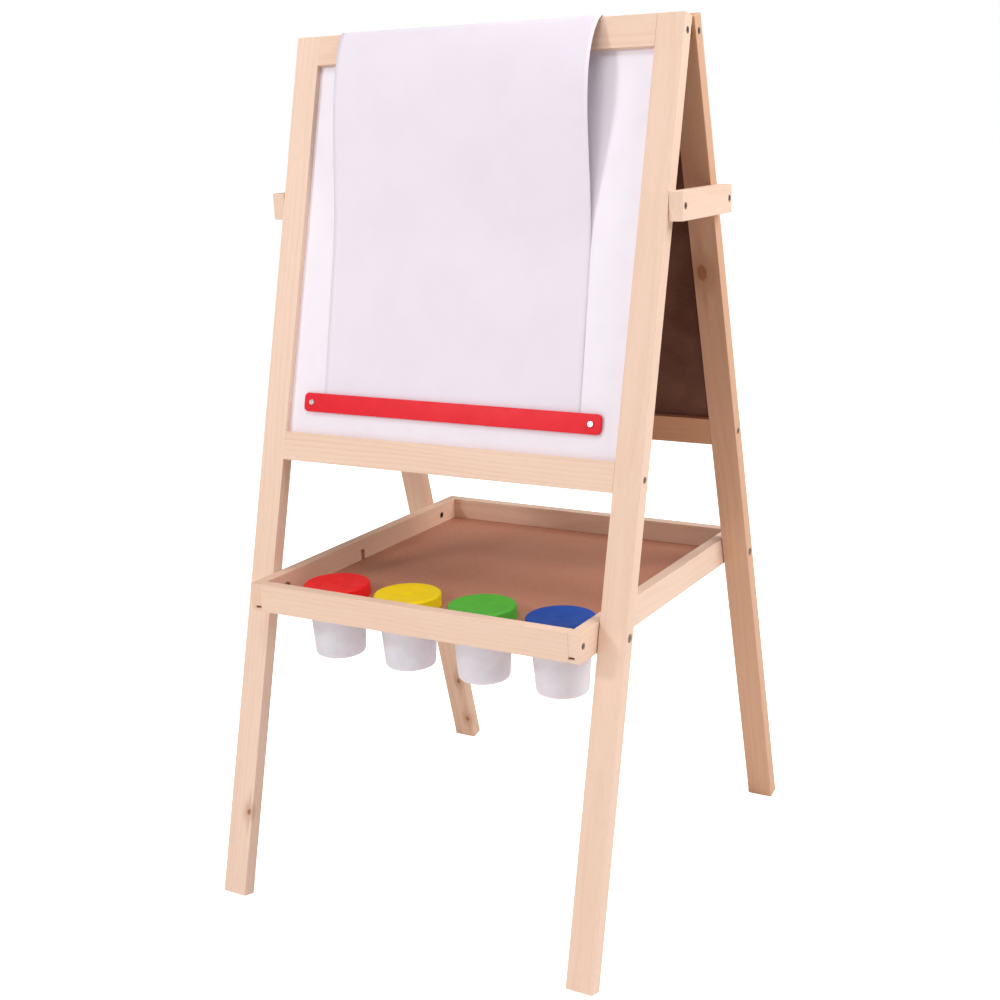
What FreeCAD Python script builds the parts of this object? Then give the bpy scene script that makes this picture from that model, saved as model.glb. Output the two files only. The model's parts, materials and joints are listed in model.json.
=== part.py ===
import FreeCAD, Part
import math
import os
from types import SimpleNamespace

import Sketcher
from FreeCAD import Placement, Rotation, Vector

# Double-sided wooden A-frame easel for children, in millimetres.
# X runs to the right along the boards, -Y is the whiteboard side, +Y the chalkboard side and +Z is up.
# The origin is on the floor, under the middle of the top hinge line.
# A place on a leaning frame is given by x, its drop down the legs from the hinge line, and its depth
# out of the plane through that line towards the frame's outer face.

DIMENSIONS = {
    # leaning frames
    "easel_width": 526,
    "lean_angle": 14.5,
    "leg_length": 1084,
    "leg_width": 34,
    "leg_thickness": 18,
    "leg_top_drop": -1,
    "frame_gap": 6,
    "top_rail_width": 36,
    "bottom_rail_width": 35.5,
    "bottom_rail_drop": 491.5,
    "edge_round": 0.7,
    # boards let into grooves of the frames
    "board_thickness": 3,
    "board_recess": 8,
    "board_tongue": 5.5,
    "groove_play": 0.1,
    "groove_depth": 6,
    # tray between the legs
    "tray_depth": 469,
    "tray_play": 1,
    "tray_height": 368.7,
    "tray_rail_width": 35,
    "tray_rail_thickness": 15,
    "tray_base_thickness": 3,
    "tray_base_lift": 4.3,
    "tray_tongue": 7.5,
    "tray_groove_depth": 8,
    "tray_bolt_lift": 19.3,
    "tray_screw_inset": 7.5,
    "notch_y": -17,
    "notch_width": 8,
    "notch_depth": 6,
    "notch_height": 14,
    # spreader bars outside the legs
    "spreader_length": 142,
    "spreader_width": 32.5,
    "spreader_thickness": 17,
    "spreader_play": 0.4,
    "spreader_height": 849,
    # red strip that clamps the paper against the whiteboard
    "strip_length": 412,
    "strip_width": 23.4,
    "strip_thickness": 4,
    "strip_corner": 6,
    "strip_drop": 452.7,
    "strip_standoff": 0.9,
    "strip_screw_spacing": 387,
    # paper roll on its dowel behind the whiteboard
    "dowel_radius": 7.95,
    "dowel_end_play": 0.5,
    "core_bore": 8,
    "core_radius": 10,
    "roll_radius": 19,
    "roll_length": 356,
    "roll_shift": -17,
    "roll_drop": 296,
    "roll_clearance": 2,
    "bracket_thickness": 9,
    "bracket_margin": 5,
    "bracket_reach": 26,
    "bracket_back_play": 0.3,
    "bracket_screw_depth": 5.2,
    "bracket_screw_rise": 18,
    # the loose length of paper that runs from the roll over the top rail
    "paper_thickness": 0.5,
    "paper_clearance": 0.5,
    "paper_bulge": 20,
    "paper_landing": 271,
    "paper_tail": 3,
    "paper_shift": -9,
    # butt hinges at the top of the legs
    "leaf_width": 26,
    "leaf_height": 22,
    "leaf_thickness": 1.2,
    "leaf_screw_drop": 10,
    "leaf_screw_spacing": 14,
    "knuckle_radius": 2.4,
    "knuckle_width": 10,
    "knuckle_play": 0.3,
    "pin_radius": 1.2,
    "pin_play": 0.04,
    # screws, bolts and nuts
    "hole_play": 0.05,
    "head_recess": 0.6,
    "slot_width": 0.9,
    "screw_radius": 2.2,
    "screw_head_radius": 4,
    "screw_head_height": 2.6,
    "rail_screw_length": 62,
    "tray_screw_length": 40,
    "spreader_screw_length": 44,
    "open_pivot_play": 1.2,
    "bolt_radius": 3,
    "bolt_head_radius": 5.2,
    "bolt_head_height": 3.4,
    "nut_radius": 4.8,
    "nut_height": 2.6,
    "insert_radius": 4.4,
    "small_screw_radius": 1.4,
    "small_head_radius": 2.6,
    "small_head_height": 1,
    "small_screw_length": 13,
    "strip_screw_radius": 1.75,
    "strip_head_radius": 3.4,
    "strip_head_height": 1.8,
    "strip_nut_radius": 3.4,
    "strip_nut_height": 2.4,
    # paint pots hung in the tray's base
    "pot_pitch": 105.7,
    "pot_shift": 5,
    "pot_y": -157,
    "pot_hole_radius": 37.8,
    "cup_top_radius": 36.6,
    "cup_bottom_radius": 31.2,
    "cup_depth": 76,
    "cup_wall": 1.5,
    "cup_corner": 6,
    "flange_radius": 39.3,
    "flange_height": 2,
    "flange_seat": 0.1,
    "neck_height": 5,
    "neck_radius": 36,
    "lid_radius": 41.5,
    "lid_height": 15.5,
    "lid_wall": 1.8,
    "lid_fit": 0.3,
    "lid_dish": 1.8,
    "lid_rim": 6,
    "lid_edge_round": 1.5,
}


class Measure:
    """A length worked out from the sheet: its value now, and the expression that keeps it."""

    def __init__(self, value, text):
        self.value = float(value)
        self.text = text

    def __add__(self, other):
        other = measure(other)
        return Measure(self.value + other.value, f"({self.text} + {other.text})")

    def __sub__(self, other):
        other = measure(other)
        return Measure(self.value - other.value, f"({self.text} - {other.text})")

    def __mul__(self, number):
        return Measure(self.value * number, f"({self.text} * {number})")

    def __truediv__(self, number):
        return Measure(self.value / number, f"({self.text} / {number})")

    def __float__(self):
        return self.value


def measure(length):
    """A plain number as a measure of its own."""
    return length if isinstance(length, Measure) else Measure(length, str(length))


doc = FreeCAD.newDocument("kids_easel")
sheet = doc.addObject("Spreadsheet::Sheet", "dims")
for row, (alias, value) in enumerate(DIMENSIONS.items(), start=1):
    sheet.set(f"A{row}", alias)
    sheet.set(f"B{row}", str(value))
    sheet.setAlias(f"B{row}", alias)
doc.recompute()

d = SimpleNamespace(**{alias: Measure(sheet.get(alias), f"dims.{alias}") for alias in DIMENSIONS})

FRONT = -1
REAR = 1
HANDS = {"left": -1, "right": 1}
PAPER_STEPS = 12
SLOT_SHARE = 0.65
PARALLEL = 0.999
SAME_LEVEL = 0.01
UP = Vector(0, 0, 1)
ALONG_X = Vector(1, 0, 0)
ALONG_Y = Vector(0, 1, 0)

# ------------------------------------------------------------ places worked out from the sheet

LEAN = math.radians(float(d.lean_angle))
FACE_IN = float(d.frame_gap / 2)
FACE_OUT = FACE_IN + float(d.leg_thickness)
FACE_MID = (FACE_IN + FACE_OUT) / 2
LEG_TOP = float(d.leg_top_drop)
LEG_END = LEG_TOP + float(d.leg_length)
HALF_WIDTH = float(d.easel_width / 2)
INNER_HALF = HALF_WIDTH - float(d.leg_width)
LEG_MIDDLE = (HALF_WIDTH + INNER_HALF) / 2
FOOT_ROUNDING = float(d.edge_round) * (math.cos(LEAN) + math.sin(LEAN) - 1)
HINGE_HEIGHT = LEG_END * math.cos(LEAN) - FACE_IN * math.sin(LEAN) - FOOT_ROUNDING
BOARD_FACE = FACE_OUT - float(d.board_recess)
BOARD_BACK = BOARD_FACE - float(d.board_thickness)
TOP_RAIL_END = LEG_TOP + float(d.top_rail_width)
BOTTOM_RAIL_TOP = float(d.bottom_rail_drop)
RAIL_SCREW_DROPS = (
    LEG_TOP + float(d.top_rail_width / 2),
    float(d.bottom_rail_drop + d.bottom_rail_width / 2),
)
TRAY_HALF = INNER_HALF - float(d.tray_play)
TRAY_INNER = TRAY_HALF - float(d.tray_rail_thickness)
TRAY_END = float(d.tray_depth / 2)
TRAY_FLOOR = float(d.tray_height)
BASE_TOP = float(d.tray_base_lift + d.tray_base_thickness)
ROLL_DEPTH = BOARD_BACK - float(d.roll_clearance + d.roll_radius)
POT_STEPS = {"red": -1.5, "yellow": -0.5, "green": 0.5, "blue": 1.5}
POT_PLACES = {colour: Vector(float(d.pot_pitch) * steps + float(d.pot_shift), float(d.pot_y), BASE_TOP)
              for colour, steps in POT_STEPS.items()}


def frame_placement(side):
    """Placement of a frame's own axes: own -Y faces out of the frame and own Z runs up its legs."""
    leaning = Rotation(ALONG_X, -float(d.lean_angle))
    if side == REAR:
        leaning = Rotation(UP, 180).multiply(leaning)
    return Placement(Vector(0, 0, HINGE_HEIGHT), leaning)


TRAY_PLACEMENT = Placement(Vector(0, 0, TRAY_FLOOR), Rotation())


def on_frame(x, drop, depth):
    """A point of a leaning frame in its own axes."""
    return Vector(x, -depth, -drop)


def drop_at(height, depth):
    """How far down the legs a level above the floor meets the line at this depth."""
    return (HINGE_HEIGHT + depth * math.sin(LEAN) - height) / math.cos(LEAN)


def world_y(drop, depth):
    """Distance from the middle plane of the easel of a point on either frame."""
    return drop * math.sin(LEAN) + depth * math.cos(LEAN)


TRAY_BOLT_Z = TRAY_FLOOR + float(d.tray_bolt_lift)
TRAY_BOLT_DROP = drop_at(TRAY_BOLT_Z, FACE_MID)
TRAY_BOLT_Y = world_y(TRAY_BOLT_DROP, FACE_MID)
SPREADER_DROP = drop_at(float(d.spreader_height), FACE_MID)
SPREADER_Y = world_y(SPREADER_DROP, FACE_MID)
SPREADER_INNER = HALF_WIDTH + float(d.spreader_play)
SPREADER_OUTER = SPREADER_INNER + float(d.spreader_thickness)

# ------------------------------------------------------------ building blocks

SUB_PARTS = []


def bind(obj, **sizes):
    """Bind an object's properties to the sheet."""
    for name, length in sizes.items():
        obj.setExpression(name, measure(length).text)


def box(name, corner, length, width, height):
    """A block from its low corner."""
    obj = doc.addObject("Part::Box", name)
    bind(obj, Length=length, Width=width, Height=height)
    obj.Placement = Placement(corner, Rotation())
    return obj


def rod(name, start, direction, radius, length):
    """A cylinder from the middle of its first end."""
    obj = doc.addObject("Part::Cylinder", name)
    bind(obj, Radius=radius, Height=length)
    obj.Placement = Placement(start, Rotation(UP, direction))
    return obj


def eased(name, block, direction=None):
    """A block of timber with its edges sanded round: all of them, or those along one direction."""
    doc.recompute()
    radius = float(d.edge_round)
    chosen = []
    for number, edge in enumerate(block.Shape.Edges, start=1):
        tangent = edge.tangentAt(edge.FirstParameter)
        if direction is None or abs(tangent.dot(direction)) > PARALLEL:
            chosen.append((number, radius, radius))
    obj = doc.addObject("Part::Fillet", name)
    obj.Base = block
    obj.Edges = chosen
    return obj


def fused(name, shapes):
    """Several shapes joined into one solid."""
    obj = doc.addObject("Part::MultiFuse", name)
    obj.Shapes = shapes
    return obj


def grouped(name, shapes):
    """Alike pieces that stay separate solids."""
    obj = doc.addObject("Part::Compound", name)
    obj.Links = shapes
    return obj


def carved(name, base, tools):
    """What is left of the base once every tool is taken away."""
    obj = doc.addObject("Part::Cut", name)
    obj.Base = base
    obj.Tool = fused(name + "_tools", tools) if len(tools) > 1 else tools[0]
    return obj


def keep(obj, node, placement=None):
    """Make an object a sub-part of the easel under its node's name."""
    obj.Label = node
    if placement is not None:
        obj.Placement = placement
    SUB_PARTS.append(obj)


def origin_plane(body, role):
    """One of a body's own origin planes."""
    return next(plane for plane in body.Origin.OriginFeatures if plane.Role == role)


def outline(body, name, role, points):
    """A closed sketch with straight sides, whose every corner is held by the sheet."""
    sketch = body.newObject("Sketcher::SketchObject", name)
    sketch.AttachmentSupport = [(origin_plane(body, role), "")]
    sketch.MapMode = "FlatFace"
    places = [Vector(float(across), float(up), 0) for across, up in points]
    for index, place in enumerate(places):
        sketch.addGeometry(Part.LineSegment(place, places[(index + 1) % len(places)]), False)
    for index, point in enumerate(points):
        previous = (index - 1) % len(points)
        sketch.addConstraint(Sketcher.Constraint("Coincident", previous, 2, index, 1))
        for kind, axis, length in (("DistanceX", -2, point[0]), ("DistanceY", -1, point[1])):
            hold_corner(sketch, kind, axis, index, measure(length))
    return sketch


def hold_corner(sketch, kind, axis, index, length):
    """Hold one coordinate of a line's first end, on the sketch's axis or at a distance from it."""
    if length.value == 0:
        sketch.addConstraint(Sketcher.Constraint("PointOnObject", index, 1, axis))
        return
    number = sketch.addConstraint(Sketcher.Constraint(kind, -1, 1, index, 1, length.value))
    sketch.setExpression(f"Constraints[{number}]", length.text)


def turned(name, points):
    """A body turned about its own Z from (radius, height) corners."""
    body = doc.addObject("PartDesign::Body", name)
    turn = body.newObject("PartDesign::Revolution", name + "_turn")
    turn.Profile = outline(body, name + "_profile", "XZ_Plane", points)
    turn.ReferenceAxis = (turn.Profile[0], ["V_Axis"])
    turn.Angle = 360
    doc.recompute()
    return body


def rounded(body, radius, wanted):
    """Round the circular edges of a turned body that wanted(radius, height) picks."""
    doc.recompute()
    names = []
    for number, edge in enumerate(body.Shape.Edges, start=1):
        if isinstance(edge.Curve, Part.Circle) and wanted(edge.Curve.Radius, edge.Curve.Center.z):
            names.append(f"Edge{number}")
    turn = body.Tip
    fillet = body.newObject("PartDesign::Fillet", body.Name + "_round")
    fillet.Base = (turn, names)
    fillet.setExpression("Radius", radius.text)
    doc.recompute()


# ------------------------------------------------------------ screws and the room they need

WOOD_SCREW = (d.screw_radius, d.screw_head_radius, d.screw_head_height)
BOLT = (d.bolt_radius, d.bolt_head_radius, d.bolt_head_height)
SMALL_SCREW = (d.small_screw_radius, d.small_head_radius, d.small_head_height)
STRIP_SCREW = (d.strip_screw_radius, d.strip_head_radius, d.strip_head_height)


def screw(name, place, direction, kind, length):
    """A slotted screw: place is the middle of its head's outer face, direction runs to its tip."""
    shank_radius, head_radius, head_height = kind
    head = rod(name + "_head", place, direction, head_radius, head_height)
    shank = rod(name + "_shank", place, direction, shank_radius, length)
    slot = doc.addObject("Part::Box", name + "_slot")
    bind(slot, Length=head_radius * SLOT_SHARE * 2, Width=d.slot_width, Height=head_height / 3)
    turn = Rotation(UP, direction)
    middle = turn.multVec(Vector(slot_reach(head_radius), float(d.slot_width / 2), 0))
    slot.Placement = Placement(place - middle, turn)
    return carved(name, fused(name + "_blank", [head, shank]), [slot])


def slot_reach(head_radius):
    """Half the length of the slot in a head."""
    return float(head_radius * SLOT_SHARE)


def screw_room(name, surface, direction, kind, length):
    """The hole for a screw whose head is sunk below the surface."""
    shank_radius, head_radius, head_height = kind
    bore = rod(name + "_bore", surface, direction, shank_radius + d.hole_play, length)
    sink = rod(name + "_sink", surface, direction, head_radius + d.hole_play, head_height + d.head_recess)
    return fused(name, [bore, sink])


def sunk(surface, direction):
    """Where the head of a sunk screw starts."""
    return surface + direction * float(d.head_recess)


def nut(name, place, direction, outer, height, bore):
    """A six-sided nut threaded on a screw, from the face it is tightened against."""
    blank = doc.addObject("Part::Prism", name + "_blank")
    blank.Polygon = 6
    bind(blank, Circumradius=outer, Height=height)
    blank.Placement = Placement(place, Rotation(UP, direction))
    hole = rod(name + "_bore", place, direction, bore + d.hole_play, height)
    return carved(name, blank, [hole])


# ------------------------------------------------------------ leaning frames

def frame_legs(name, side):
    """Two legs with their board grooves and every hole that a screw or a bolt needs."""
    for hand, sign in HANDS.items():
        own = sign * -side
        inward = Vector(-own, 0, 0)
        node = f"{name}_{hand}_leg"
        low_x = INNER_HALF if own > 0 else -HALF_WIDTH
        corner = on_frame(low_x, LEG_END, FACE_OUT)
        timber = box(node + "_timber", corner, d.leg_width, d.leg_thickness, d.leg_length)
        tools = [leg_groove(node, own)]
        for number, drop in enumerate(RAIL_SCREW_DROPS):
            surface = on_frame(own * HALF_WIDTH, drop, FACE_MID)
            tools.append(screw_room(f"{node}_rail_hole{number}", surface, inward, WOOD_SCREW,
                                    d.rail_screw_length))
        small_bore = d.small_screw_radius + d.hole_play
        for number, place in enumerate(hinge_screw_places(own)):
            tools.append(rod(f"{node}_hinge_hole{number}", place, -ALONG_Y, small_bore,
                             d.small_screw_length))
        bolt_surface = on_frame(own * HALF_WIDTH, TRAY_BOLT_DROP, FACE_MID)
        tools.append(screw_room(node + "_tray_hole", bolt_surface, inward, BOLT, d.leg_width))
        pivot_surface = on_frame(own * HALF_WIDTH, SPREADER_DROP, FACE_MID)
        tools.append(rod(node + "_spreader_hole", pivot_surface, inward, d.screw_radius + d.hole_play,
                         d.spreader_screw_length - d.spreader_thickness))
        if side == FRONT:
            for number, place in enumerate(bracket_screw_places(own, INNER_HALF)):
                tools.append(rod(f"{node}_bracket_hole{number}", place, -inward, small_bore,
                                 d.small_screw_length))
        leg = carved(node + "_cut", eased(node + "_eased", timber), tools)
        keep(leg, node, frame_placement(side))


def leg_groove(node, own):
    """Groove in a leg's inner side face that takes the edge of the board."""
    low_x = INNER_HALF if own > 0 else -INNER_HALF - float(d.groove_depth)
    corner = on_frame(low_x, BOTTOM_RAIL_TOP + float(d.groove_depth), BOARD_FACE + float(d.groove_play))
    length = d.bottom_rail_drop - d.leg_top_drop - d.top_rail_width + d.groove_depth * 2
    return box(node + "_groove", corner, d.groove_depth, d.board_thickness + d.groove_play * 2, length)


def frame_rails(name, side):
    """Top and bottom rails between the legs, each grooved for the board and drilled at its ends."""
    length = d.easel_width - d.leg_width * 2
    groove_width = d.board_thickness + d.groove_play * 2
    rails = {
        "top": (TOP_RAIL_END, d.top_rail_width, TOP_RAIL_END),
        "bottom": (BOTTOM_RAIL_TOP + float(d.bottom_rail_width), d.bottom_rail_width,
                   BOTTOM_RAIL_TOP + float(d.groove_depth)),
    }
    for index, (which, (end, width, groove_end)) in enumerate(rails.items()):
        node = f"{name}_{which}_rail"
        timber = box(node + "_timber", on_frame(-INNER_HALF, end, FACE_OUT), length, d.leg_thickness, width)
        groove_corner = on_frame(-INNER_HALF, groove_end, BOARD_FACE + float(d.groove_play))
        tools = [box(node + "_groove", groove_corner, length, groove_width, d.groove_depth)]
        for hand, sign in HANDS.items():
            start = on_frame(sign * HALF_WIDTH, RAIL_SCREW_DROPS[index], FACE_MID)
            tools.append(rod(f"{node}_{hand}_hole", start, Vector(-sign, 0, 0), d.screw_radius + d.hole_play,
                             d.rail_screw_length))
        rail = carved(node + "_cut", eased(node + "_eased", timber, ALONG_X), tools)
        keep(rail, node, frame_placement(side))


def frame_board(node, side):
    """A thin hardboard panel held in the grooves all round."""
    length = d.easel_width - d.leg_width * 2 + d.board_tongue * 2
    height = d.bottom_rail_drop - d.leg_top_drop - d.top_rail_width + d.board_tongue * 2
    low = BOTTOM_RAIL_TOP + float(d.board_tongue)
    corner = on_frame(float(length) / -2, low, BOARD_FACE)
    panel = box(node + "_panel", corner, length, d.board_thickness, height)
    if side == REAR:
        keep(panel, node, frame_placement(side).multiply(panel.Placement))
        return
    holes = [rod(f"{node}_hole{number}", place, ALONG_Y, d.strip_screw_radius + d.hole_play, d.leg_thickness)
             for number, place in enumerate(strip_screw_places(FACE_OUT))]
    keep(carved(node + "_cut", panel, holes), node, frame_placement(side))


def frame_screws(name, side):
    """Long screws that go through the legs into the ends of the rails."""
    screws = []
    for hand, sign in HANDS.items():
        inward = Vector(-sign, 0, 0)
        for number, drop in enumerate(RAIL_SCREW_DROPS):
            place = sunk(on_frame(sign * HALF_WIDTH, drop, FACE_MID), inward)
            screws.append(screw(f"{name}_{hand}_rail_screw{number}", place, inward, WOOD_SCREW,
                                d.rail_screw_length - d.head_recess * 2))
    keep(grouped(name + "_rail_screw_group", screws), name + "_rail_screws", frame_placement(side))


# ------------------------------------------------------------ hinges

def hinge_screw_places(own):
    """Middles of the two screws of a leaf, on the leg's inner face."""
    half = float(d.leaf_screw_spacing / 2)
    drop = float(d.leaf_screw_drop)
    return [on_frame(own * LEG_MIDDLE + offset, drop, FACE_IN) for offset in (-half, half)]


def hinge_leaves(name, side):
    """Both leaves of one frame: the front leaves carry the middle knuckle, the rear ones the outer two."""
    outer_width = (d.leaf_width - d.knuckle_width) / 2 - d.knuckle_play
    outer_low = float(d.knuckle_width / 2 + d.knuckle_play)
    spans = {FRONT: [(-float(d.knuckle_width / 2), d.knuckle_width)],
             REAR: [(-float(d.leaf_width / 2), outer_width), (outer_low, outer_width)]}
    leaves = []
    for hand, sign in HANDS.items():
        own = sign * -side
        part = f"{name}_{hand}_leaf"
        middle = own * LEG_MIDDLE
        corner = on_frame(middle - float(d.leaf_width / 2), float(d.leaf_height), FACE_IN)
        plate = box(part + "_plate", corner, d.leaf_width, d.leaf_thickness, d.leaf_height)
        room = [rod(f"{part}_room{number}", on_frame(middle + low - float(d.knuckle_play), 0, 0), ALONG_X,
                    d.knuckle_radius + d.knuckle_play, width + d.knuckle_play * 2)
                for number, (low, width) in enumerate(spans[-side])]
        knuckles = [rod(f"{part}_knuckle{number}", on_frame(middle + low, 0, 0), ALONG_X,
                        d.knuckle_radius, width)
                    for number, (low, width) in enumerate(spans[side])]
        leaf = fused(part + "_blank", [carved(part + "_trimmed", plate, room)] + knuckles)
        bores = [rod(part + "_pin_bore", on_frame(middle - float(d.leaf_width), 0, 0), ALONG_X,
                     d.pin_radius + d.pin_play, d.leaf_width * 2)]
        for number, place in enumerate(hinge_screw_places(own)):
            start = place + ALONG_Y * float(d.leaf_thickness)
            bores.append(rod(f"{part}_screw_bore{number}", start, -ALONG_Y,
                             d.small_screw_radius + d.hole_play, d.leaf_thickness * 2))
            bores.append(rod(f"{part}_screw_sink{number}", start, -ALONG_Y,
                             d.small_head_radius + d.hole_play, d.small_head_height))
        leaves.append(carved(part, leaf, bores))
    keep(grouped(name + "_leaf_group", leaves), name + "_hinge_leaves", frame_placement(side))


def hinge_screws(name, side):
    """Small countersunk screws that hold the leaves to the legs."""
    screws = []
    for hand, sign in HANDS.items():
        for number, place in enumerate(hinge_screw_places(sign)):
            start = place + ALONG_Y * float(d.leaf_thickness)
            screws.append(screw(f"{name}_{hand}_leaf_screw{number}", start, -ALONG_Y, SMALL_SCREW,
                                d.small_screw_length))
    keep(grouped(name + "_leaf_screw_group", screws), name + "_hinge_screws", frame_placement(side))


def hinge_pins():
    """One pin through the knuckles of each hinge."""
    start = -float(d.leaf_width / 2)
    pins = [rod(f"{hand}_hinge_pin", Vector(sign * LEG_MIDDLE + start, 0, HINGE_HEIGHT), ALONG_X,
                d.pin_radius, d.leaf_width)
            for hand, sign in HANDS.items()]
    keep(grouped("hinge_pin_group", pins), "hinge_pins")


# ------------------------------------------------------------ strip that holds the paper

def strip_screw_places(depth):
    """Middles of the strip's two screws at some depth of the front frame."""
    half = float(d.strip_screw_spacing / 2)
    return [on_frame(x, float(d.strip_drop), depth) for x in (-half, half)]


def clamp_strip():
    """Flat strip with rounded corners, drilled for its two screws."""
    node = "clamp_strip"
    low = BOARD_FACE + float(d.strip_standoff)
    corner = on_frame(float(d.strip_length) / -2, float(d.strip_drop + d.strip_width / 2),
                      low + float(d.strip_thickness))
    bar = box(node + "_bar", corner, d.strip_length, d.strip_thickness, d.strip_width)
    doc.recompute()
    shaped = doc.addObject("Part::Fillet", node + "_shaped")
    shaped.Base = bar
    radius = float(d.strip_corner)
    shaped.Edges = [(number, radius, radius) for number, edge in enumerate(bar.Shape.Edges, start=1)
                    if abs(edge.tangentAt(edge.FirstParameter).dot(ALONG_Y)) > 0.999]
    holes = [rod(f"{node}_hole{number}", place, ALONG_Y, d.strip_screw_radius + d.hole_play, d.leg_thickness)
             for number, place in enumerate(strip_screw_places(FACE_OUT))]
    keep(carved(node + "_cut", shaped, holes), node, frame_placement(FRONT))


def strip_fasteners():
    """The strip's screws, and the nuts behind the board that they pull against."""
    above_board = d.strip_standoff + d.strip_thickness + d.strip_head_height
    head_face = BOARD_FACE + float(above_board)
    length = above_board + d.board_thickness + d.strip_nut_height
    screws = [screw(f"strip_screw{number}", place, ALONG_Y, STRIP_SCREW, length)
              for number, place in enumerate(strip_screw_places(head_face))]
    keep(grouped("strip_screw_group", screws), "clamp_strip_screws", frame_placement(FRONT))
    nuts = [nut(f"strip_nut{number}", place, ALONG_Y, d.strip_nut_radius, d.strip_nut_height,
                d.strip_screw_radius)
            for number, place in enumerate(strip_screw_places(BOARD_BACK))]
    keep(grouped("strip_nut_group", nuts), "clamp_strip_nuts", frame_placement(FRONT))


# ------------------------------------------------------------ paper roll

def bracket_screw_places(own, x):
    """Middles of the two screws of a roll bracket, at a distance from the middle plane."""
    rise = float(d.bracket_screw_rise)
    return [on_frame(own * x, float(d.roll_drop) + offset, float(d.bracket_screw_depth))
            for offset in (-rise, rise)]


def roll_brackets():
    """Blocks on the front legs that carry the ends of the dowel."""
    reach = BOARD_BACK - float(d.bracket_back_play)
    depth = reach - ROLL_DEPTH + float(d.dowel_radius + d.bracket_margin)
    height = d.bracket_reach * 2
    screws = []
    for hand, sign in HANDS.items():
        node = "roll_bracket_" + hand
        inner = INNER_HALF - float(d.bracket_thickness)
        low_x = inner if sign > 0 else -INNER_HALF
        corner = on_frame(low_x, float(d.roll_drop + d.bracket_reach), reach)
        block = box(node + "_block", corner, d.bracket_thickness, depth, height)
        hole = rod(node + "_hole", on_frame(low_x, float(d.roll_drop), ROLL_DEPTH), ALONG_X,
                   d.dowel_radius + d.hole_play, d.bracket_thickness)
        outward = Vector(sign, 0, 0)
        tools = [hole]
        for number, place in enumerate(bracket_screw_places(sign, inner)):
            tools.append(screw_room(f"{node}_screw_hole{number}", place, outward, SMALL_SCREW,
                                    d.bracket_thickness))
            screws.append(screw(f"{node}_screw{number}", sunk(place, outward), outward, SMALL_SCREW,
                                d.bracket_thickness + d.small_screw_length - d.head_recess * 2))
        bracket = carved(node + "_cut", eased(node + "_eased", block, ALONG_X), tools)
        keep(bracket, node, frame_placement(FRONT))
    keep(grouped("bracket_screw_group", screws), "roll_bracket_screws", frame_placement(FRONT))


def paper_roll():
    """Dowel, cardboard core and the paper wound on it."""
    axis_drop = float(d.roll_drop)
    dowel_length = (d.easel_width / 2 - d.leg_width - d.dowel_end_play) * 2
    dowel = rod("roll_dowel_rod", on_frame(float(dowel_length) / -2, axis_drop, ROLL_DEPTH), ALONG_X,
                d.dowel_radius, dowel_length)
    keep(dowel, "roll_dowel", frame_placement(FRONT).multiply(dowel.Placement))
    start = on_frame(float(d.roll_shift - d.roll_length / 2), axis_drop, ROLL_DEPTH)
    rings = {"roll_core": (d.core_bore, d.core_radius), "paper_roll": (d.core_radius, d.roll_radius)}
    for node, (bore, outer) in rings.items():
        ring = rod(node + "_outer", start, ALONG_X, outer, d.roll_length)
        hollow = rod(node + "_hollow", start, ALONG_X, bore, d.roll_length)
        keep(carved(node + "_ring", ring, [hollow]), node, frame_placement(FRONT))


def paper_path():
    """Places (depth, height) along the paper's inner side, up from the roll and down to the strip."""
    gap = float(d.paper_clearance)
    behind = FACE_IN - gap
    above = gap - LEG_TOP
    board_side = BOARD_FACE + gap / 2
    start = ROLL_DEPTH + float(d.roll_radius + d.paper_thickness) + gap
    first = FACE_OUT + gap
    landing = float(d.paper_landing)
    path = [(start, -float(d.roll_drop)), (behind, -TOP_RAIL_END), (behind, above), (first, above)]
    for step in range(1, PAPER_STEPS + 1):
        along = step / PAPER_STEPS
        bulge = float(d.paper_bulge) * math.sin(math.pi * math.sqrt(along))
        depth = first + (board_side - first) * along + bulge
        path.append((depth, above - (landing - LEG_TOP) * along))
    path.append((board_side, -float(d.strip_drop + d.paper_tail)))
    return path


def offset_side(path, distance):
    """The same path moved to its left, mitred at its corners."""
    moved = []
    for index, (across, up) in enumerate(path):
        before = path[max(index - 1, 0)]
        after = path[min(index + 1, len(path) - 1)]
        runs = [unit(before, (across, up)) if index else unit((across, up), after)]
        runs.append(unit((across, up), after) if index < len(path) - 1 else runs[0])
        normal = Vector(-runs[0].y - runs[1].y, runs[0].x + runs[1].x, 0)
        mitre = distance * 2 / normal.Length ** 2
        moved.append((across + normal.x * mitre, up + normal.y * mitre))
    return moved


def unit(first, second):
    """Direction from one place of a path to another."""
    return Vector(second[0] - first[0], second[1] - first[1], 0).normalize()


def paper_sheet():
    """The loose paper as one thin solid."""
    path = paper_path()
    low_x = float(d.paper_shift - d.roll_length / 2)
    corners = path + offset_side(path, float(d.paper_thickness))[::-1]
    points = [Vector(low_x, -depth, height) for depth, height in corners]
    solid = doc.addObject("Part::Feature", "paper_sheet_solid")
    solid.Shape = Part.Face(Part.makePolygon(points + points[:1])).extrude(ALONG_X * float(d.roll_length))
    keep(solid, "paper_sheet", frame_placement(FRONT))


# ------------------------------------------------------------ tray

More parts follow.
